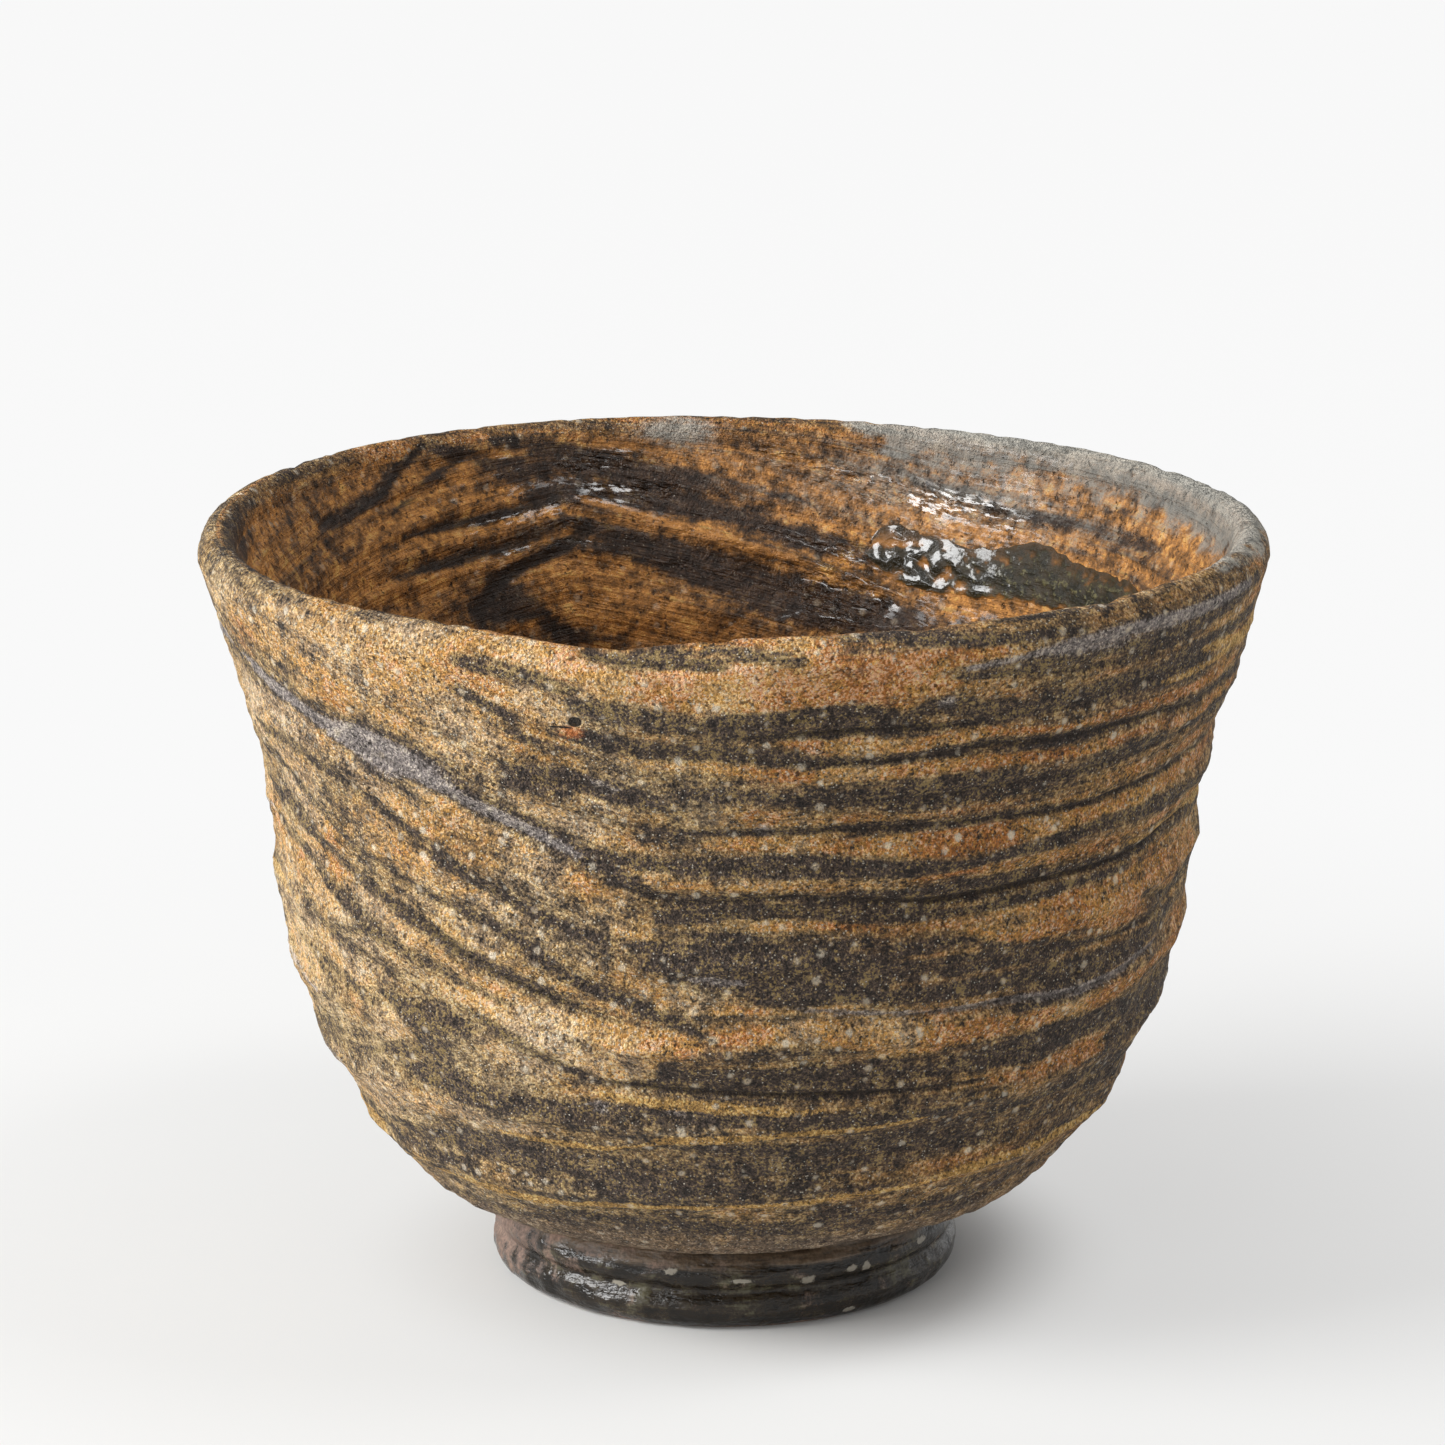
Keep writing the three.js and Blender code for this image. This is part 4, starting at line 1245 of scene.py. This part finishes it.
def foot_glass(colours):
    """Olive brown glass with fine lines round the foot and grey streaks between the beads, brown and half
    matte on the neck, crawled in pale spots, and worn back to matte clay where it ran thin."""
    material, start, place = new_material("foot glass")
    bare, crawled, _ = start.painted("kiln").parts()
    z = place.axes()[2]
    lines = place.scaled(0.07, 0.07, 1).swing(1.5, 4, 0.65)
    cloud = place.swing(0.24, 4, 0.6)
    curl = place.scaled(0.5, 0.5, 1).swing(0.7, 3, 0.6)
    grit = place.swing(2.2, 4, 0.7, 1.2)
    waist = start.maths("ABSOLUTE", z - 4.9).step(2.6, 0.4)
    body = 0.43 + lines * 0.3 + cloud * 0.5 + curl * 0.42 + waist * 0.08 + grit * 0.2
    colour = body.ramp(
        (0.28, shade(colours.foot_glass, 0.35)),
        (0.44, colours.foot_glass),
        (0.56, shade(colours.foot_glass, 1.7)),
        (0.68, shade(colours.foot_streak, 0.7)),
        (0.8, colours.foot_streak),
    )
    clay = 0.5 + grit * 0.5 + cloud * 0.2 + lines * 0.2
    clay = clay.shades(colours.foot, (0.2, 0.35), (0.5, 0.85), (0.8, 1.5))
    slip = 0.5 + lines * 0.5 + grit * 0.4
    slip = slip.shades(colours.slip, (0.25, 0.2), (0.5, 0.55), (0.8, 1.1))
    neck = (z + cloud * 1.2 + lines * 1.2).step(6.9, 8.3)
    colour = colour.toward(slip, neck * 0.85)
    worn = (bare + lines * 0.35 + cloud * 0.3 + grit * 0.3).step(0.25, 0.85)
    colour = colour.toward(clay, worn * 0.9)
    spot = (crawled + grit * 0.5 + curl * 0.4).step(0.4, 0.62)
    height = (cloud + curl * 0.8) * (1 - worn * 0.7) + lines * 0.3 + grit * (0.06 + worn * 0.2) + spot * 0.6
    finish_material(start, {
        "Base Color": colour.toward(shade(colours.feldspar, 0.45), spot * 0.75),
        "Roughness": 0.16 + worn * 0.42 + neck * 0.22 + cloud * 0.08,
        "Normal": height.bump(0.45, 0.5 * MM),
        "Specular IOR Level": 0.4,
    })
    return material


def run_glass(colours):
    """Ash glass in a furrow: rusty at its thin edge and cloudy brown to dark olive where it is thick,
    darker along its seams, with painted shade under the ledge above it, mottled grey-green at the right,
    and wettest at the left."""
    material, start, place = new_material("run glass")
    deep, share, wet = start.painted("kiln").parts()
    cloud = place.swing(0.4, 3)
    vein = place.scaled(0.5, 0.5, 1.5).swing(0.7, 3, 0.6)
    milk = place.swing(1.4, 4, 0.7)
    colour = (deep + cloud * 0.5 + milk * 0.5).ramp(
        (0.2, shade(colours.inner, 0.7)),
        (0.45, shade(colours.inner, 0.3)),
        (0.62, colours.run_cloud),
        (0.85, shade(colours.run_cloud, 0.7)),
        (1.0, colours.run_deep),
    )
    mottle = (vein * 0.7 + milk * 0.9).step(0.05, 0.4)
    colour = colour.toward(shade(colours.run_thin, 0.8), (1 - wet) * mottle * 0.75)
    # Painted shade: the top of the run, under the ledge above it, is darkened toward the deepest glass
    ledge = (share + vein * 0.2).step(0.66, 0.92)
    colour = colour.toward(colours.run_deep, ledge * 0.85)
    seam = (vein + milk * 0.3).step(0.25, 0.6)
    specks = (cloud * 0.5 + milk * 0.6 + wet * 0.3).step(0.1, 0.3)
    shine = (0.35 + wet * 0.65) * specks
    finish_material(start, {
        "Base Color": colour.toward(shade(colours.run_deep, 0.8), seam * 0.7),
        "Roughness": 0.5 - shine * 0.38 + milk * 0.08,
        "Normal": (cloud * 0.6 + vein * 0.5 + milk * 0.25).bump(0.6, 0.7 * MM),
        "Specular IOR Level": 0.2,
        "Coat Weight": shine,
        "Coat Roughness": 0.07,
    })
    return material


def paper_floor(colours):
    """Plain paper that keeps the cup's shadow. For the camera and in reflections a painted white glow is
    mixed in, which lightens the shadow from a ring round the cup, covers the paper further off and is
    painted darker toward the front.
    """
    material, start, place = new_material("paper floor")
    away = place.vector("LENGTH", output="Value")
    # Painted light: a white glow that lightens the cup's shadow round it and covers the paper further off
    clear = away.step(*SHADOW_EDGE) * 0.48 + away.step(*PAPER_EDGE) * 0.5
    rays = start.node("ShaderNodeLightPath", output="Is Camera Ray")
    mirrored = start.maths("MAXIMUM", rays.out("Is Glossy Ray"), rays.out("Is Transmission Ray"))
    seen = start.maths("MAXIMUM", rays, mirrored)
    fibre = place.noise(0.02, 3).shades(colours.floor, (0.3, 0.985), (0.7, 1.0))
    paper = start.node("ShaderNodeBsdfPrincipled", {}, {"Base Color": fibre, "Roughness": 0.9})
    y = place.axes()[1]
    # Painted shade: the white glow is darker toward the front of the floor
    white = start.node("ShaderNodeEmission", {}, {"Color": 0.78 + y.step(-330, 60) * 0.17})
    mixed = start.node("ShaderNodeMixShader", {}, {0: clear * seen, 1: paper, 2: white})
    start.node("ShaderNodeOutputMaterial", {}, {"Surface": mixed})
    return material


def lay_paper(scene, half, material):
    """The square sheet of paper that the cup stands on."""
    mesh = bpy.data.meshes.new("paper")
    corners = [(-half, -half, 0), (half, -half, 0), (half, half, 0), (-half, half, 0)]
    mesh.from_pydata(corners, [], [(0, 1, 2, 3)])
    mesh.materials.append(material)
    paper = bpy.data.objects.new("paper", mesh)
    scene.collection.objects.link(paper)


def hang_lamp(scene, name, power, width, height, place):
    """A flat lamp that faces the cup."""
    lamp = bpy.data.lights.new(name, "AREA")
    lamp.energy = power
    lamp.shape = "RECTANGLE"
    lamp.size = width
    lamp.size_y = height
    hung = bpy.data.objects.new(name, lamp)
    hung.location = place
    hung.rotation_euler = (Vector(LAMP_AIM) - hung.location).to_track_quat("-Z", "Y").to_euler()
    scene.collection.objects.link(hung)


def set_camera(scene, stage):
    """The camera, level from side to side and looking a little down."""
    lens = bpy.data.cameras.new("camera")
    lens.sensor_width = SENSOR_WIDTH
    lens.lens = stage.camera_lens
    lens.clip_start = 0.01
    camera = bpy.data.objects.new("camera", lens)
    camera.location = stage.camera_place
    camera.rotation_euler = (math.pi / 2 - stage.camera_pitch, 0, 0)
    scene.collection.objects.link(camera)
    scene.camera = camera


def studio_world(sky_level):
    """Plain light from all round, a little stronger from the sides, that turns white toward the floor."""
    world = bpy.data.worlds.new("studio")
    world.use_nodes = True
    world.node_tree.nodes.clear()
    start = Wire(world.node_tree)
    x, _, z = start.node("ShaderNodeTexCoord", output="Generated").axes()
    sky = (0.85 + x * x * 0.5) * sky_level
    level = sky + (0.93 - sky) * z.step(0.16, 0.06)
    light = start.node("ShaderNodeBackground", {}, {"Color": level})
    start.node("ShaderNodeOutputWorld", {}, {"Surface": light})
    return world


class CUP_OT_bowl(bpy.types.Operator):
    """Throw the marbled bowl"""

    bl_idname = "cup.bowl"
    bl_label = "Bowl"

    def execute(self, context):
        scene = context.scene
        mesh = throw_bowl(scene.cup_bowl, scene.cup_glass)
        set_piece(mesh, marbled_clay(scene.cup_colours), "bowl")
        return {"FINISHED"}


class CUP_OT_slip(bpy.types.Operator):
    """Smear the slip in the joint"""

    bl_idname = "cup.slip"
    bl_label = "Slip"

    def execute(self, context):
        scene = context.scene
        mesh = smear_slip(scene.cup_foot, scene.cup_bowl)
        set_piece(mesh, smeared_slip(scene.cup_colours), "luting_slip")
        return {"FINISHED"}


class CUP_OT_foot(bpy.types.Operator):
    """Turn the foot ring"""

    bl_idname = "cup.foot"
    bl_label = "Foot ring"

    def execute(self, context):
        scene = context.scene
        mesh = turn_foot(scene.cup_foot)
        set_piece(mesh, bare_foot(scene.cup_colours), "foot_ring")
        return {"FINISHED"}


class CUP_OT_glass(bpy.types.Operator):
    """Melt the ash glass on the foot and inside the wall"""

    bl_idname = "cup.glass"
    bl_label = "Ash glass"

    def execute(self, context):
        scene = context.scene
        coat = coat_foot(scene.cup_foot, scene.cup_glass)
        set_piece(coat, foot_glass(scene.cup_colours), "foot_glaze")
        run = pour_run(scene.cup_glass, scene.cup_bowl)
        set_piece(run, run_glass(scene.cup_colours), "wall_glaze")
        return {"FINISHED"}


class CUP_OT_stage(bpy.types.Operator):
    """Set the floor, the lamps and the camera"""

    bl_idname = "cup.stage"
    bl_label = "Stage"

    def execute(self, context):
        scene = context.scene
        stage = scene.cup_stage
        lay_paper(scene, stage.floor_half, paper_floor(scene.cup_colours))
        for name, *measures in LAMPS:
            hang_lamp(scene, name, getattr(stage, name + "_power"), *measures)
        set_camera(scene, stage)
        scene.world = studio_world(stage.sky_level)
        scene.view_settings.view_transform = "Standard"
        return {"FINISHED"}


class CUP_PT_panel(bpy.types.Panel):
    """The cup's sizes and steps"""

    bl_idname = "CUP_PT_panel"
    bl_label = "Footed cup"
    bl_space_type = "VIEW_3D"
    bl_region_type = "UI"
    bl_category = "Cup"

    def draw(self, context):
        layout = self.layout
        for operator in OPERATORS:
            layout.operator(operator.bl_idname)
        for group in GROUPS:
            box = layout.box()
            box.label(text=group.__doc__)
            owner = getattr(context.scene, GROUPS[group])
            for name in group.__annotations__:
                box.prop(owner, name)


GROUPS = {
    BowlSizes: "cup_bowl",
    FootSizes: "cup_foot",
    GlassSizes: "cup_glass",
    CupColours: "cup_colours",
    StageSizes: "cup_stage",
}
OPERATORS = (CUP_OT_bowl, CUP_OT_slip, CUP_OT_foot, CUP_OT_glass, CUP_OT_stage)


def register():
    for group, name in GROUPS.items():
        bpy.utils.register_class(group)
        setattr(bpy.types.Scene, name, PointerProperty(type=group))
    for made in (*OPERATORS, CUP_PT_panel):
        bpy.utils.register_class(made)


def unregister():
    for made in (CUP_PT_panel, *reversed(OPERATORS)):
        bpy.utils.unregister_class(made)
    for group, name in reversed(GROUPS.items()):
        delattr(bpy.types.Scene, name)
        bpy.utils.unregister_class(group)


def main():
    register()
    bpy.ops.cup.stage()
    bpy.ops.cup.bowl()
    bpy.ops.cup.slip()
    bpy.ops.cup.foot()
    bpy.ops.cup.glass()


if __name__ == "__main__":
    main()
